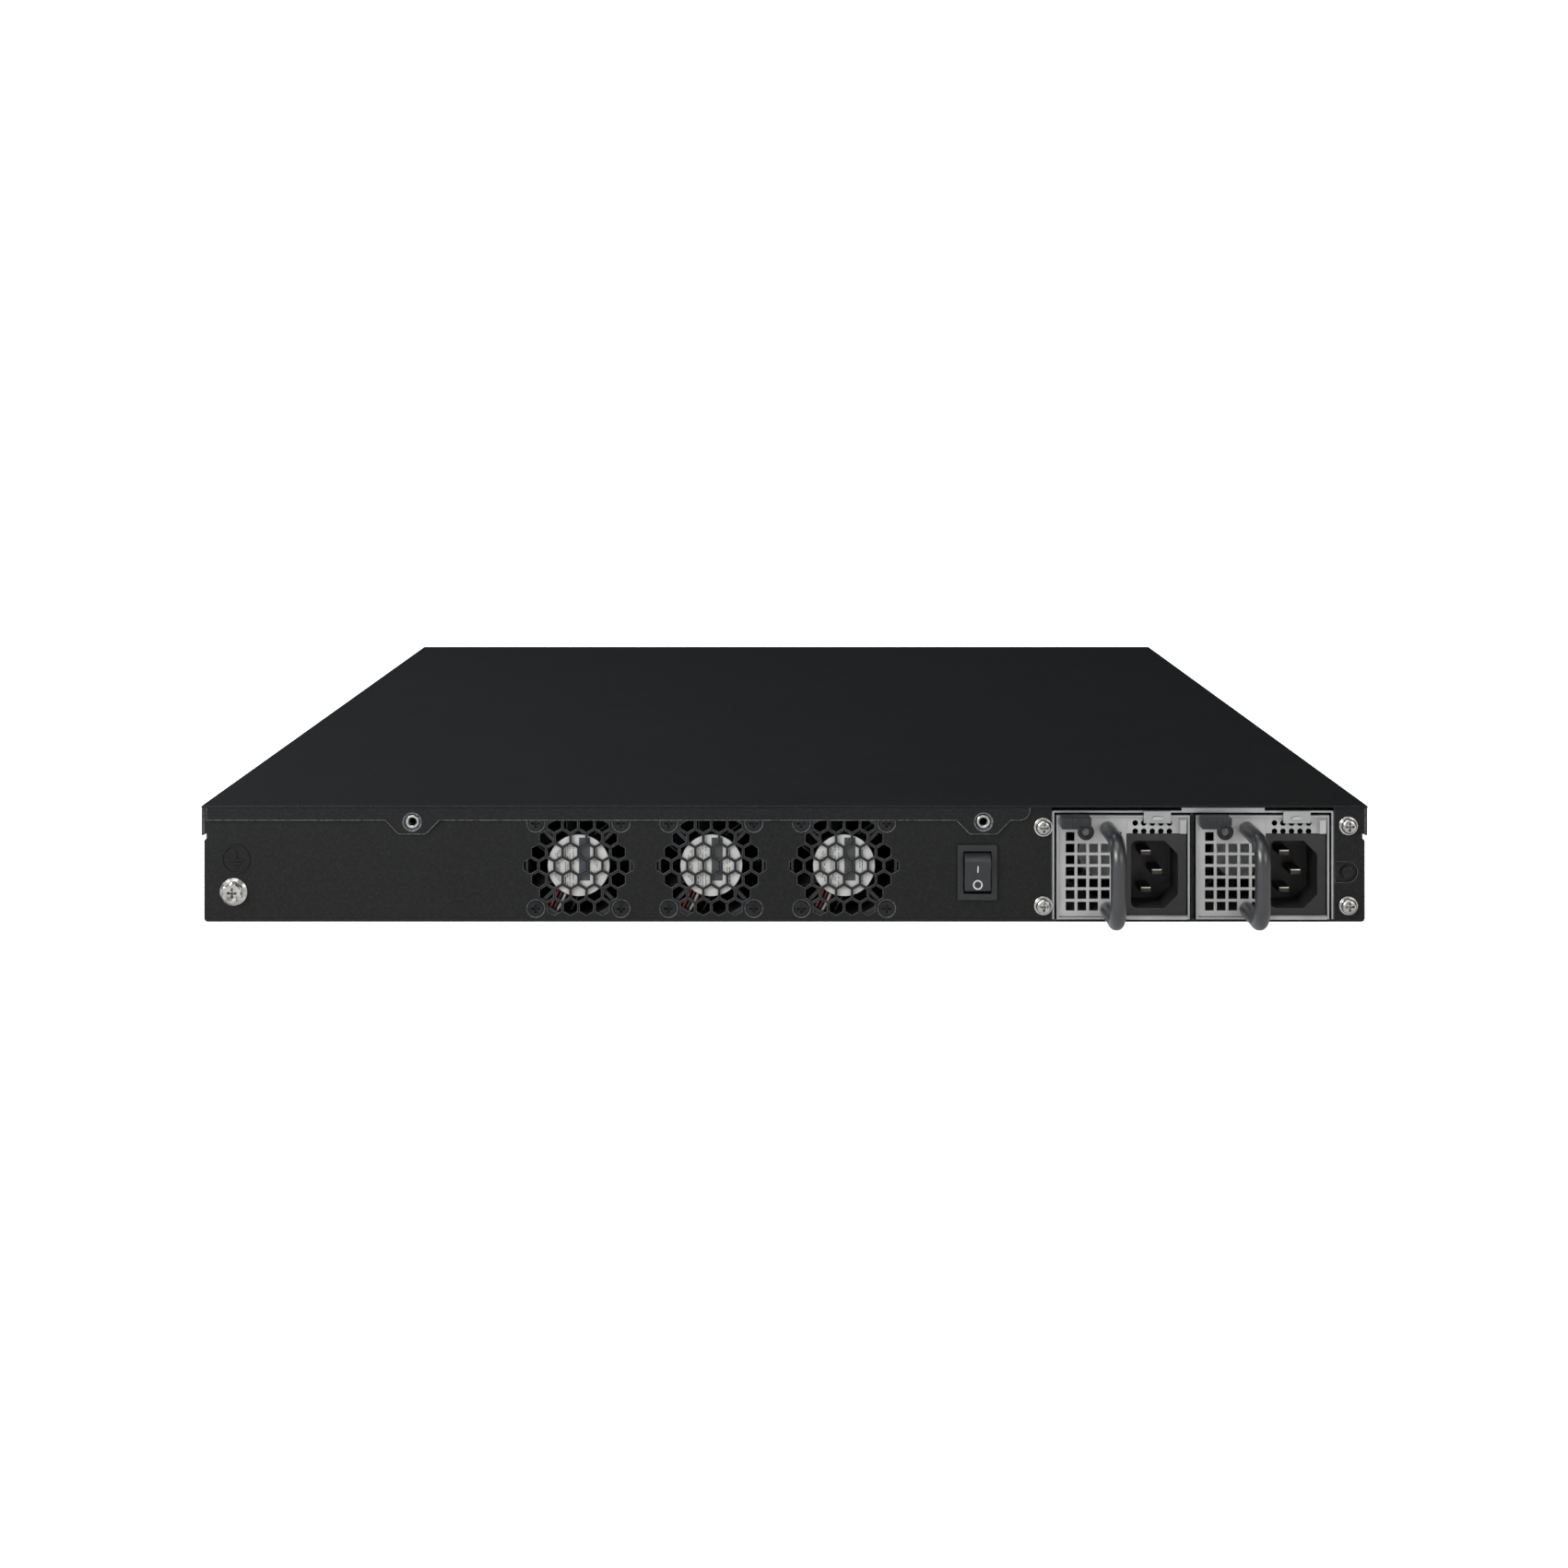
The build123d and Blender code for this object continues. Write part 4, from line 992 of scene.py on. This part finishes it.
# ---------------------------------------------------------------- fans
@dataclass
class VentFan:
    """One 40 mm fan behind its hexagonal vents, with its label and its three wires."""

    number: int
    edge: float = 0.15
    base_sink: float = 0.3
    label_r: float = 11.55
    label_thick: float = 0.08
    label_root: float = -0.05
    ink_half: float = 0.02
    band: tuple[float, float] = (0.1, 4.3)  # its left and right side
    columns: tuple[float, ...] = (-8.6, -7.9, -7.2, -4.9, -4.1, -3.3, -2.0, 6.0, 6.9)
    dash: tuple[float, float] = (0.25, 0.9)
    dash_gap: float = 0.22
    dash_width: float = 0.34
    blank_share: float = 0.22
    wires: tuple[tuple[Finish, float], ...] = ((WIRE_RED, -1.7), (WIRE_BLACK, 0.0), (WIRE_PALE, 1.7))
    wire_route: tuple[Point, ...] = (
        (-5.6, 1.6, -8.2), (-7.2, 1.0, -12.2), (-9.4, 0.9, -16.4), (-10.4, 2.4, -18.6)
    )
    wire_r: float = 0.55

    def build(self) -> None:
        """Builds the frame, rotor, label and wires."""
        frame_node, rotor_node = f"fan_{self.number}_frame", f"fan_{self.number}_rotor"
        refine(frame_node, FAN_PLASTIC, self.edge).done()
        refine(rotor_node, FAN_PLASTIC, self.edge, f"fan_{self.number}").done()
        block = box_mm(frame_node)
        base = (block.middle.x, block.low.y + self.base_sink, block.middle.z)
        self.build_label(Way.REAR.seat(*base))
        self.build_wires(*base)

    def build_label(self, seat: Matrix) -> None:
        """A round label: a dark band beside rows of print, drawn as plain dashes.

        Args:
            seat: the middle of the motor base.
        """
        r, t, root = self.label_r, self.label_thick, self.label_root
        label = Piece(f"fan_{self.number}_label", LABEL_PAPER)
        label.add_turned([(0.0, t), (r - 0.05, t), (r, t - 0.03), (r, root), (0.0, root)], seat, steps=96)
        label.done()
        ink = Piece(f"fan_{self.number}_label_print", LABEL_INK)
        under, over = t - self.ink_half, t + self.ink_half
        low, high = self.band
        reach = math.sqrt((r - 0.25) ** 2 - high**2)
        ink.add_box((low, -reach * 0.55, under), (high, reach, over), 0.0, seat)
        pick = random.Random(self.number)
        for x in self.columns:
            reach = math.sqrt((r - 1.2) ** 2 - x**2) * 0.8
            z = -reach
            while z < reach:
                length = pick.uniform(*self.dash)
                if pick.random() > self.blank_share:
                    half, end = self.dash_width / 2, min(z + length, reach)
                    ink.add_box((x - half, z, under), (x + half, end, over), 0.0, seat)
                z += length + self.dash_gap
        ink.done()

    def build_wires(self, x: float, face: float, z: float) -> None:
        """Three wires from the motor base to a notch in the frame's wall.

        Args:
            x, face, z: the middle of the motor base.
        """
        for finish, side in self.wires:
            points = [(x + across + side, face + back, z + up) for across, back, up in self.wire_route]
            Piece(f"fan_{self.number}_{finish.name}", finish).add_tube(points, self.wire_r).done()


@dataclass
class FanScrews:
    """The black countersunk screws that hold the three fans."""

    screw: CrossScrew = CrossScrew(HeadShape.FLUSH, 2.75, 1.65, 1.45, 9.5)

    def build(self) -> None:
        """Builds all twelve as one piece, each flush with the front of its solid."""
        self.screw.build(
            "fan_corner_screws", SCREW_BLACK, "fan_screws", lambda block: block.seat(block.low.y)
        )


# ---------------------------------------------------------------- rocker switch
@dataclass
class RockerSwitch:
    """The mains rocker: bezel, rocker, and the two standard marks printed on it."""

    bezel_edge: float = 0.35
    rocker_edge: float = 0.3
    terminal_edge: float = 0.1
    pivot_y: float = -249.0
    tilt: float = 10.0
    dish: float = -3.6
    slope: float = 1.4 / 5.52  # how far the front rises from its dish, over its half height
    on_z: float = 2.5
    off_z: float = -3.5
    line: float = 0.48
    on_length: float = 2.9
    off_r: float = 1.55
    print_under: float = -0.05
    print_over: float = 0.04

    def build(self) -> None:
        """Builds the switch."""
        refine("rocker_housing", SWITCH_NYLON, self.bezel_edge).done()
        refine("rocker_button", ROCKER_NYLON, self.rocker_edge, "rocker").done()
        refine("rocker_terminals", BRASS_NICKEL, self.terminal_edge).done()
        marks = Piece("rocker_marks", MARK_WHITE, "rocker")
        half, line, under, over = self.on_length / 2, self.line / 2, self.print_under, self.print_over
        marks.add_box((-line, -half, under), (line, half, over), 0.0, self.seat(self.on_z))
        inner, outer = self.off_r - line, self.off_r + line
        ring = [(inner, under), (inner, over), (outer, over), (outer, under)]
        marks.add_turned(ring, self.seat(self.off_z), closed=True)
        marks.done()

    def seat(self, z: float) -> Matrix:
        """Where a mark lies on the dished front.

        Args:
            z: the mark's height over the pivot, before the rocker tilts.

        Returns:
            The matrix of that place.
        """
        middle = box_mm("rocker_housing").middle
        lean = math.copysign(self.slope, z)
        up = Vector((0.0, -lean, 1.0)).normalized()
        across = Vector((1.0, 0.0, 0.0))
        face = Matrix((across, up, across.cross(up))).transposed().to_4x4()
        spot = Matrix.Translation((0.0, self.dish - abs(z) * self.slope, z))
        pivot = Matrix.Translation((middle.x, self.pivot_y, middle.z))
        return pivot @ Matrix.Rotation(math.radians(self.tilt), 4, "X") @ spot @ face


# ---------------------------------------------------------------- power supplies
@dataclass
class SupplyBay:
    """The folded cage that the supplies slide into, with its divider, screws and stud."""

    cage_edge: float = 0.2
    stud_edge: float = 0.4
    rivet_z: float = 28.0
    screw: CrossScrew = CrossScrew(
        HeadShape.WASHER_DOME, 2.9, 1.75, 1.45, 5.0, height=2.9, collar_r=3.5, collar=0.8
    )

    def build(self) -> None:
        """Builds the bay."""
        refine("psu_cage", ZINC_SHEET, self.cage_edge, clamp=True).done()
        refine("psu_cage_divider", CASE_COAT, self.cage_edge).done()
        refine("locating_stud", SCREW_BLACK, self.stud_edge).done()
        face = box_mm("rear_panel").low.y
        self.screw.build("supply_bay_screws", SCREW_NICKEL, "psu_cage_screws", lambda block: block.seat(face))
        divider = box_mm("psu_cage_divider")
        dome = [(0.0, 0.4), (0.3, 0.36), (0.5, 0.2), (0.55, 0.0), (0.55, ROOT), (0.0, ROOT)]
        seat = Way.REAR.seat(divider.middle.x, divider.low.y, self.rivet_z)
        Piece("divider_rivet", CASE_COAT).add_turned(dome, seat, steps=24).done()


@dataclass
class PowerSupply:
    """One pull-out supply. Places across it are measured from its left side."""

    body: str
    case_edge: float = 0.16
    plate_edge: float = 0.12
    inlet_edge: float = 0.25
    fan_edge: float = 0.15
    handle_r: float = 2.85
    handle_bend: float = 8.0
    handle_flare: float = 0.35
    bend_steps: int = 10
    stud: Point = (1.9, 0.2, -4.0)  # its radius, and where it starts and ends
    lamp_r: float = 3.1
    lamp_bore: float = 1.55
    lamp_root: float = -5.0
    # left, right, bottom, top, how far it reaches in, and its round
    folds: tuple[tuple[float, ...], ...] = (
        (46.2, 48.7, 33.4, 38.6, 0.7, 0.3), (26.0, 49.0, 1.2, 2.45, 0.75, 0.25)
    )
    bump: Point = (37.7, -0.8, 39.1)  # across, out from the case's lip, and up
    bump_stretch: float = 2.4
    label: tuple[float, ...] = (9.6, 0.08, -0.05, 0.3)  # its radius, top, underside and depth
    latch_edge: float = 0.25
    ribs: int = 8
    rib_start: float = 1.75
    rib_pitch: float = 1.25
    rib_half: float = 0.35
    rib_depth: float = 0.3
    rib_bottoms: tuple[float, float] = (36.6, 37.9)
    rib_step: float = 7.6
    pin_tip: float = 0.4
    left: float = field(init=False)
    lip: float = field(init=False)
    plate: float = field(init=False)

    def __post_init__(self) -> None:
        """Reads where the supply's case and its front plate start."""
        case = self.box("case").low
        self.left, self.lip, self.plate = case.x, case.y, self.box("faceplate").low.y

    def box(self, part: str) -> Block:
        """The box of one of the supply's own frame nodes."""
        return box_mm(f"{self.body}_{part}")

    def piece(self, name: str, finish: Finish, *parts: str) -> Piece:
        """Starts a piece on the supply, which stands for some of its frame nodes."""
        return Piece(f"{self.body}_{name}", finish, self.body, [f"{self.body}_{part}" for part in parts])

    def build(self) -> None:
        """Builds every piece of the supply."""
        psu = self.body
        refine(f"{psu}_case", ZINC_SHEET, self.case_edge, psu, clamp=True).done()
        refine(f"{psu}_faceplate", FRONT_SHEET, self.plate_edge, psu).done()
        refine(f"{psu}_inlet", INLET_NYLON, self.inlet_edge, psu).done()
        self.build_pins()
        refine(f"{psu}_fan_frame", FAN_PLASTIC, self.fan_edge, psu).done()
        refine(f"{psu}_fan_rotor", FAN_PLASTIC, self.fan_edge, f"{psu}_fan").done()
        self.build_handle()
        self.build_latch()
        self.build_lamp()
        self.build_sheet_details()
        self.build_fan_label()

    def build_pins(self) -> None:
        """The inlet's three blades, with rounded tips and a painted highlight on the upward slope of each
        tip.
        """
        blades = self.piece("inlet_blades", BLADE_NICKEL, "inlet_pins")
        for low, high in solids_of(f"{self.body}_inlet_pins"):
            blade = bmesh.new()
            stand = Matrix.Translation((low + high) / 2) @ Matrix.Diagonal((*(high - low), 1.0))
            bmesh.ops.create_cube(blade, size=1.0, matrix=stand)
            tip = [edge for edge in blade.edges if all(vert.co.y < low.y + 0.1 for vert in edge.verts)]
            bevel_edges(blade, tip, self.pin_tip)
            # faces that slope up and out take the painted highlight; the rest keep the painted shade of the
            # flats
            for face in blade.faces:
                face.material_index = int(face.normal.y < -0.1 and face.normal.z > 0.2)
            blades.take(blade)
        blades.done()

    def build_handle(self) -> None:
        """The pull handle: a dipped bar with two wide bends, standing on two studs."""
        low, high = self.box("handle")
        x, r, bend, flare = (low.x + high.x) / 2, self.handle_r, self.handle_bend, self.handle_flare
        z0, z1, out = low.z + r, high.z - r, low.y + r
        bar = bmesh.new()
        seat = Way.REAR.seat(x, self.plate, z0)
        made = bmesh.ops.create_circle(bar, cap_ends=True, segments=32, radius=r * 0.9, matrix=seat)
        loop = list({edge for vert in made["verts"] for edge in vert.link_edges})
        for reach in (flare, abs(self.plate - out) - bend):
            loop = self.extend(bar, loop, Vector((x, self.plate - reach, z0)), r)
        for z in (z0 + bend, z1 - bend):
            spun = bmesh.ops.spin(
                bar, geom=loop, cent=(x, out + bend, z), axis=(1, 0, 0), dvec=(0, 0, 0), angle=-math.pi / 2,
                steps=self.bend_steps, use_merge=False, use_duplicate=False,
            )
            loop = [item for item in spun["geom_last"] if isinstance(item, bmesh.types.BMEdge)]
            if z < (z0 + z1) / 2:
                loop = self.extend(bar, loop, Vector((x, out, z1 - bend)), r)
        for reach, radius in ((flare, r), (0.0, r * 0.9)):
            loop = self.extend(bar, loop, Vector((x, self.plate - reach, z1)), radius)
        bmesh.ops.holes_fill(bar, edges=loop, sides=0)
        bmesh.ops.recalc_face_normals(bar, faces=bar.faces)
        handle = self.piece("pull_handle", HANDLE_DIP, "handle")
        handle.take(bar)
        stud_r, top, end = self.stud
        for z in (z0, z1):
            stud = [(0.0, top), (stud_r, top), (stud_r, end), (0.0, end)]
            handle.add_turned(stud, Way.REAR.seat(x, self.plate, z), steps=24)
        handle.done(50.0)

    def extend(self, bar: Mesh, loop: list, centre: Vector, radius: float) -> list:
        """Draws a bar on from its open end.

        Args:
            bar: the bar's mesh.
            loop: the edges of its open end.
            centre: the middle of the new end.
            radius: the new end's radius.

        Returns:
            The edges of the new end.
        """
        corners = {vert for edge in loop for vert in edge.verts}
        middle = sum((vert.co for vert in corners), Vector()) / len(corners)
        return draw_out(bar, loop, lambda corner: centre + (corner - middle).normalized() * radius)

    def build_latch(self) -> None:
        """The release tab, ribbed where a finger presses."""
        node = f"{self.body}_latch"
        low, high = box_mm(node)
        latch = refine(node, LATCH_NYLON, self.latch_edge, node, f"{self.body}_release_tab")
        half = self.rib_half
        for n in range(self.ribs):
            x = low.x + self.rib_start + n * self.rib_pitch
            bottom = self.rib_bottoms[x >= self.left + self.rib_step]
            latch.add_box(
                (x - half, low.y - self.rib_depth, bottom), (x + half, low.y + 0.3, high.z - 0.4), 0.15
            )
        latch.done()

    def build_lamp(self) -> None:
        """The status lamp: a rounded holder ring around a domed lens."""
        seat = self.box("lamp").seat(self.plate)
        r, bore, root = self.lamp_r, self.lamp_bore, self.lamp_root
        ring = [(bore, 0.15), (bore + 0.25, 0.38), (r - 0.45, 0.5), (r - 0.12, 0.36), (r, 0.12), (r, 0.0)]
        ring += [(r - 0.7, 0.0), (r - 0.7, root), (bore, root)]
        self.piece("lamp_holder", LAMP_BLACK, "lamp").add_turned(ring, seat, closed=True).done()
        r = bore - 0.05
        dome = [(0.0, 0.3), (r * 0.4, 0.26), (r * 0.75, 0.12), (r, -0.15), (r, root), (0.0, root)]
        self.piece("lamp_lens", LAMP_LENS).add_turned(dome, seat, steps=32).done()

    def build_sheet_details(self) -> None:
        """A side tab, the turned-up lip under the inlet, and the pressed bump on the top tab."""
        sheet = self.piece("front_folds", FRONT_SHEET)
        for x0, x1, z0, z1, thick, edge in self.folds:
            sheet.add_box(
                (self.left + x0, self.lip - 0.1, z0), (self.left + x1, self.lip + thick, z1), edge
            )
        across, out, up = self.bump
        seat = Way.REAR.seat(self.left + across, self.lip + out, up)
        dome = [(0.0, 0.3), (0.3, 0.28), (0.6, 0.17), (0.85, 0.0), (0.85, ROOT), (0.0, ROOT)]
        sheet.add_turned(dome, seat @ Matrix.Diagonal((self.bump_stretch, 1.0, 1.0, 1.0)), steps=32)
        sheet.done()

    def build_fan_label(self) -> None:
        """The plain label on the supply's own fan, seen through the grille, in paper painted whiter against
        its deep shade.
        """
        block, (r, top, under, sink) = self.box("fan_frame"), self.label
        disc = [(0.0, top), (r, top), (r, under), (0.0, under)]
        self.piece("fan_label", PAINTED_LIGHT_PAPER).add_turned(disc, block.seat(block.low.y + sink), steps=64).done()


# ---------------------------------------------------------------- port side
@dataclass
class JackRow:
    """Network jacks in one shielded block: liners, contacts and lamp windows."""

    node: str
    count: int
    rows: tuple[float, ...]
    pitch: float = 14.0
    width: float = 11.9
    height: float = 8.6
    depth: float = 15.0
    shield_edge: float = 0.2
    wall: float = 2.0
    comb: tuple[float, float] = (6.5, 1.2)  # how far out and how far down it reaches
    rail: tuple[float, float] = (1.6, 1.1)  # its width and height
    rail_sink: float = 1.0
    window: Point = (1.3, 0.72, 0.5)  # half its width, its depth, and half its height
    window_place: tuple[float, float] = (4.2, 0.9)  # across from the middle, and over the mouth
    window_rise: float = 0.12
    contacts: int = 8
    contact_pitch: float = 1.02
    contact: Point = (0.18, 5.0, 0.16)  # half its width, its length, and half its thickness
    contact_sink: float = 8.6
    contact_drop: float = 1.3
    contact_slope: float = 28.0

    def places(self) -> list[tuple[float, float]]:
        """The middle of each jack's mouth."""
        middle, half = box_mm(self.node).middle.x, (self.count - 1) / 2
        return [(middle + (n - half) * self.pitch, z) for z in self.rows for n in range(self.count)]

    def build(self) -> None:
        """Builds the block, then what stands in its jacks."""
        front = box_mm(self.node).high.y
        refine(self.node, SHIELD_TIN, self.shield_edge).done()
        liners = Piece(f"{self.node}_liners", LINER_NYLON)
        gold = Piece(f"{self.node}_contacts", CONTACT_GOLD)
        windows = {
            side: Piece(f"{self.node}_{finish.slot}_{side}", finish)
            for side, finish in ((-1, LAMP_GREEN), (1, LAMP_AMBER))
        }
        wide, deep, tall = self.window
        across, up = self.window_place
        out = front + self.window_rise
        for x, z in self.places():
            self.add_liner(liners, x, z, front)
            self.add_contacts(gold, x, z, front)
            for side, piece in windows.items():
                at, top = x + side * across, z + self.height / 2 + up
                piece.add_box((at - wide, out - deep, top - tall), (at + wide, out, top + tall), 0.15)
        for piece in (liners, gold, *windows.values()):
            piece.done()

    def add_liner(self, liners: Piece, x: float, z: float, front: float) -> None:
        """A back wall with a comb over the contacts, and two rails beside the plug's latch.

        Args:
            liners: the piece to add them to.
            x, z: the middle of the jack's mouth.
            front: the block's face.
        """
        half_w, half_h = self.width / 2 - 0.05, self.height / 2 - 0.05
        back, root = front - self.depth + 0.02, front - self.depth + 1.52
        bottom, top = z - half_h, z + half_h
        liners.add_box((x - half_w, back, bottom), (x + half_w, back + self.wall, top))
        liners.add_box((x - half_w, root, top - self.comb[1]), (x + half_w, back + self.comb[0], top))
        for side in (-1, 1):
            inner, outer = sorted((x + side * half_w, x + side * (half_w - self.rail[0])))
            liners.add_box((inner, root, bottom), (outer, front - self.rail_sink, bottom + self.rail[1]))

    def add_contacts(self, gold: Piece, x: float, z: float, front: float) -> None:
        """Eight sprung wires that slope back from the comb.

        Args:
            gold: the piece to add them to.
            x, z: the middle of the jack's mouth.
            front: the block's face.
        """
        half, long, thick = self.contact
        lean = Matrix.Rotation(math.radians(self.contact_slope), 4, "X")
        for n in range(self.contacts):
            at = x + (n - (self.contacts - 1) / 2) * self.contact_pitch
            place = (at, front - self.contact_sink, z + self.height / 2 - self.contact_drop)
            slope = Matrix.Translation(place) @ lean
            gold.add_box((-half, -long, -thick), (half, 0.0, thick), 0.0, slope)


@dataclass
class PortSide:
    """What shows on the port side: jacks, module cages, console jack and light pipes."""

    row_low: float = 15.6
    row_high: float = 28.4
    cage_edge: float = 0.08
    finger: Point = (1.1, 5.0, 0.25)  # its width, length and thickness
    fingers: int = 5

    def build(self) -> None:
        """Builds the port side."""
        for node in ("rj45_block_left", "rj45_block_right"):
            JackRow(node, 4, (self.row_low, self.row_high)).build()
        JackRow("console_port", 1, (self.row_low,)).build()
        self.build_cages()
        pipes = Piece("status_light_rods", LIGHT_ACRYLIC, stands_for=("status_light_pipes",))
        for block in solids_of("status_light_pipes"):
            size = block.high - block.low
            r = size.x / 2
            rod = [(0.0, 0.0), (r * 0.5, -0.08), (r * 0.85, -0.25), (r, -0.5), (r, -size.y), (0.0, -size.y)]
            pipes.add_turned(rod, block.seat(block.high.y, Way.PORT), steps=32)
        pipes.done()

    def build_cages(self) -> None:
        """The module cages, with spring fingers at the top and bottom of each mouth."""
        refine("sfp_cages", SHIELD_TIN, self.cage_edge).done()
        springs = Piece("module_cage_springs", SHIELD_TIN)
        wide, long, thick = self.finger
        for low, high in solids_of("sfp_cages"):
            step = (high.x - low.x) / self.fingers
            for n in range(self.fingers):
                x = low.x + step * (n + 0.5)
                for z in (low.z - thick * 0.6, high.z - thick * 0.4):
                    corner = (x - wide / 2, high.y - long, z)
                    springs.add_box(corner, (x + wide / 2, high.y - 0.1, z + thick), self.cage_edge)
        springs.done()


# ---------------------------------------------------------------- inside
@dataclass
class Interior:
    """Boards, heat sinks, leads and headers, which keep their frame shapes."""

    memory: str = "memory_module"

    def build(self) -> None:
        """Gives each node that still shows the finish of its slot."""
        slots = {part["node"]: part["material_slot"] for part in frame["record"]["subparts"]}
        for node, thing in frame["nodes"].items():
            if thing.hide_render:
                continue
            finish = BOARD_MASK if node == self.memory else SLOT_FINISH[slots[node]]
            thing.data.materials.clear()
            thing.data.materials.append(finish.material())
            LOG.info("%s keeps its shape, in %s", node, finish.name)


# ---------------------------------------------------------------- studio
@dataclass
class SoftBox:
    """A soft rectangular light, in metres, aimed at a point."""

    name: str
    place: Point
    aim: Point
    size: tuple[float, float]
    power: float
    colour: str = "#FFFFFF"

    def build(self) -> None:
        """Hangs the light."""
        light = bpy.data.lights.new(self.name, "AREA")
        light.shape, light.size, light.size_y = "RECTANGLE", *self.size
        light.energy, light.color = self.power, linear(self.colour)[:3]
        thing = add_object(self.name, light)
        thing.location = self.place
        thing.rotation_euler = (Vector(self.aim) - Vector(self.place)).to_track_quat("-Z", "Y").to_euler()


@dataclass
class Studio:
    """A pale floor, soft light and a level camera, in metres."""

    floor_size: float = 80.0
    floor_colour: str = "#F2F2F2"
    white: str = "#FFFFFF"
    backdrop: float = 1.2
    room: tuple[float, float] = (0.42, 0.03)
    room_fade: tuple[float, float] = (-0.3, 0.3)
    glow: float = 0.9
    camera_place: Point = (0.0019, -1.074, 0.2011)
    lens: float = 50.37
    shift: tuple[float, float] = (-0.0035, -0.2535)
    lights: tuple[SoftBox, ...] = (
        SoftBox("key_left", (-1.3, -1.4, 1.0), (0.0, -0.25, 0.02), (1.1, 0.9), 38.0),
        SoftBox("fill_right", (1.2, -1.6, 0.7), (0.0, -0.25, 0.02), (1.0, 0.8), 8.0),
        SoftBox("overhead", (-0.3, -0.6, 1.9), (0.0, -0.1, 0.0), (1.4, 1.2), 10.0),
        SoftBox("port_side", (-0.5, 1.4, 2.0), (-0.1, 0.2, 0.0), (0.9, 0.7), 5.0, "#D3E0F5"),
        SoftBox("port_low", (-1.6, 1.3, 0.5), (0.0, 0.25, 0.02), (0.8, 0.5), 7.0),
    )

    def build(self) -> None:
        """Builds the studio."""
        scene = bpy.context.scene
        scene.view_settings.view_transform = "Standard"
        self.build_world()
        self.build_floor()
        for light in self.lights:
            light.build()
        camera = bpy.data.cameras.new("camera")
        camera.sensor_width, camera.lens = 36.0, self.lens
        camera.shift_x, camera.shift_y = self.shift
        camera.clip_start, camera.clip_end = 0.01, 100.0
        scene.camera = add_object("camera", camera)
        scene.camera.location = self.camera_place
        scene.camera.rotation_euler = (math.pi / 2, 0.0, 0.0)

    def build_world(self) -> None:
        """A white room that is dim behind the port side, so the lid's sheen stays dark."""
        world = bpy.data.worlds.new("studio")
        bpy.context.scene.world = world
        world.use_nodes = True
        tree = world.node_tree
        tree.nodes.clear()
        facing = add_node(tree, "TexCoord", {}).outputs["Generated"]
        toward = add_node(tree, "SeparateXYZ", {"Vector": facing}).outputs["Y"]
        share = remap(tree, toward, self.room_fade, self.room)
        room, backdrop = (
            add_node(tree, "Background", {"Color": linear(self.white), "Strength": strength}).outputs[0]
            for strength in (share, self.backdrop)
        )
        self.split_rays(tree, "OutputWorld", room, backdrop)

    def split_rays(self, tree: Tree, output: str, cast: Socket, seen: Socket) -> None:
        """Ends a node tree with two lights: one that falls on the switch, and one seen behind it."""
        straight = add_node(tree, "LightPath", {}).outputs["Is Camera Ray"]
        add_node(tree, output, {0: add_node(tree, "MixShader", {0: straight, 1: cast, 2: seen}).outputs[0]})

    def build_floor(self) -> None:
        """A pale floor, lit until it is nearly white."""
        shape = bmesh.new()
        bmesh.ops.create_grid(shape, x_segments=1, y_segments=1, size=self.floor_size / 2)
        mesh = bpy.data.meshes.new("floor")
        shape.to_mesh(mesh)
        shape.free()
        material = bpy.data.materials.new("pale_floor")
        material.use_nodes = True
        tree = material.node_tree
        tree.nodes.clear()
        diffuse = add_node(tree, "BsdfDiffuse", {"Color": linear(self.floor_colour)}).outputs[0]
        glow = add_node(tree, "Emission", {"Color": linear(self.white), "Strength": self.glow}).outputs[0]
        lit = add_node(tree, "AddShader", {0: diffuse, 1: glow}).outputs[0]
        self.split_rays(tree, "OutputMaterial", diffuse, lit)
        mesh.materials.append(material)
        add_object("floor", mesh)


def main() -> None:
    """Builds the studio, then each sub-assembly in order."""
    logging.basicConfig(level=logging.INFO, format="%(name)s: %(message)s")
    fans = [VentFan(number) for number in (1, 2, 3)]
    supplies = [PowerSupply(body) for body in ("psu_a", "psu_b")]
    rear = (*fans, FanScrews(), RockerSwitch(), SupplyBay(), *supplies)
    for assembly in (Studio(), SheetCase(), *rear, PortSide(), Interior()):
        LOG.info("building %s", type(assembly).__name__)
        assembly.build()


if __name__ == "__main__":
    main()
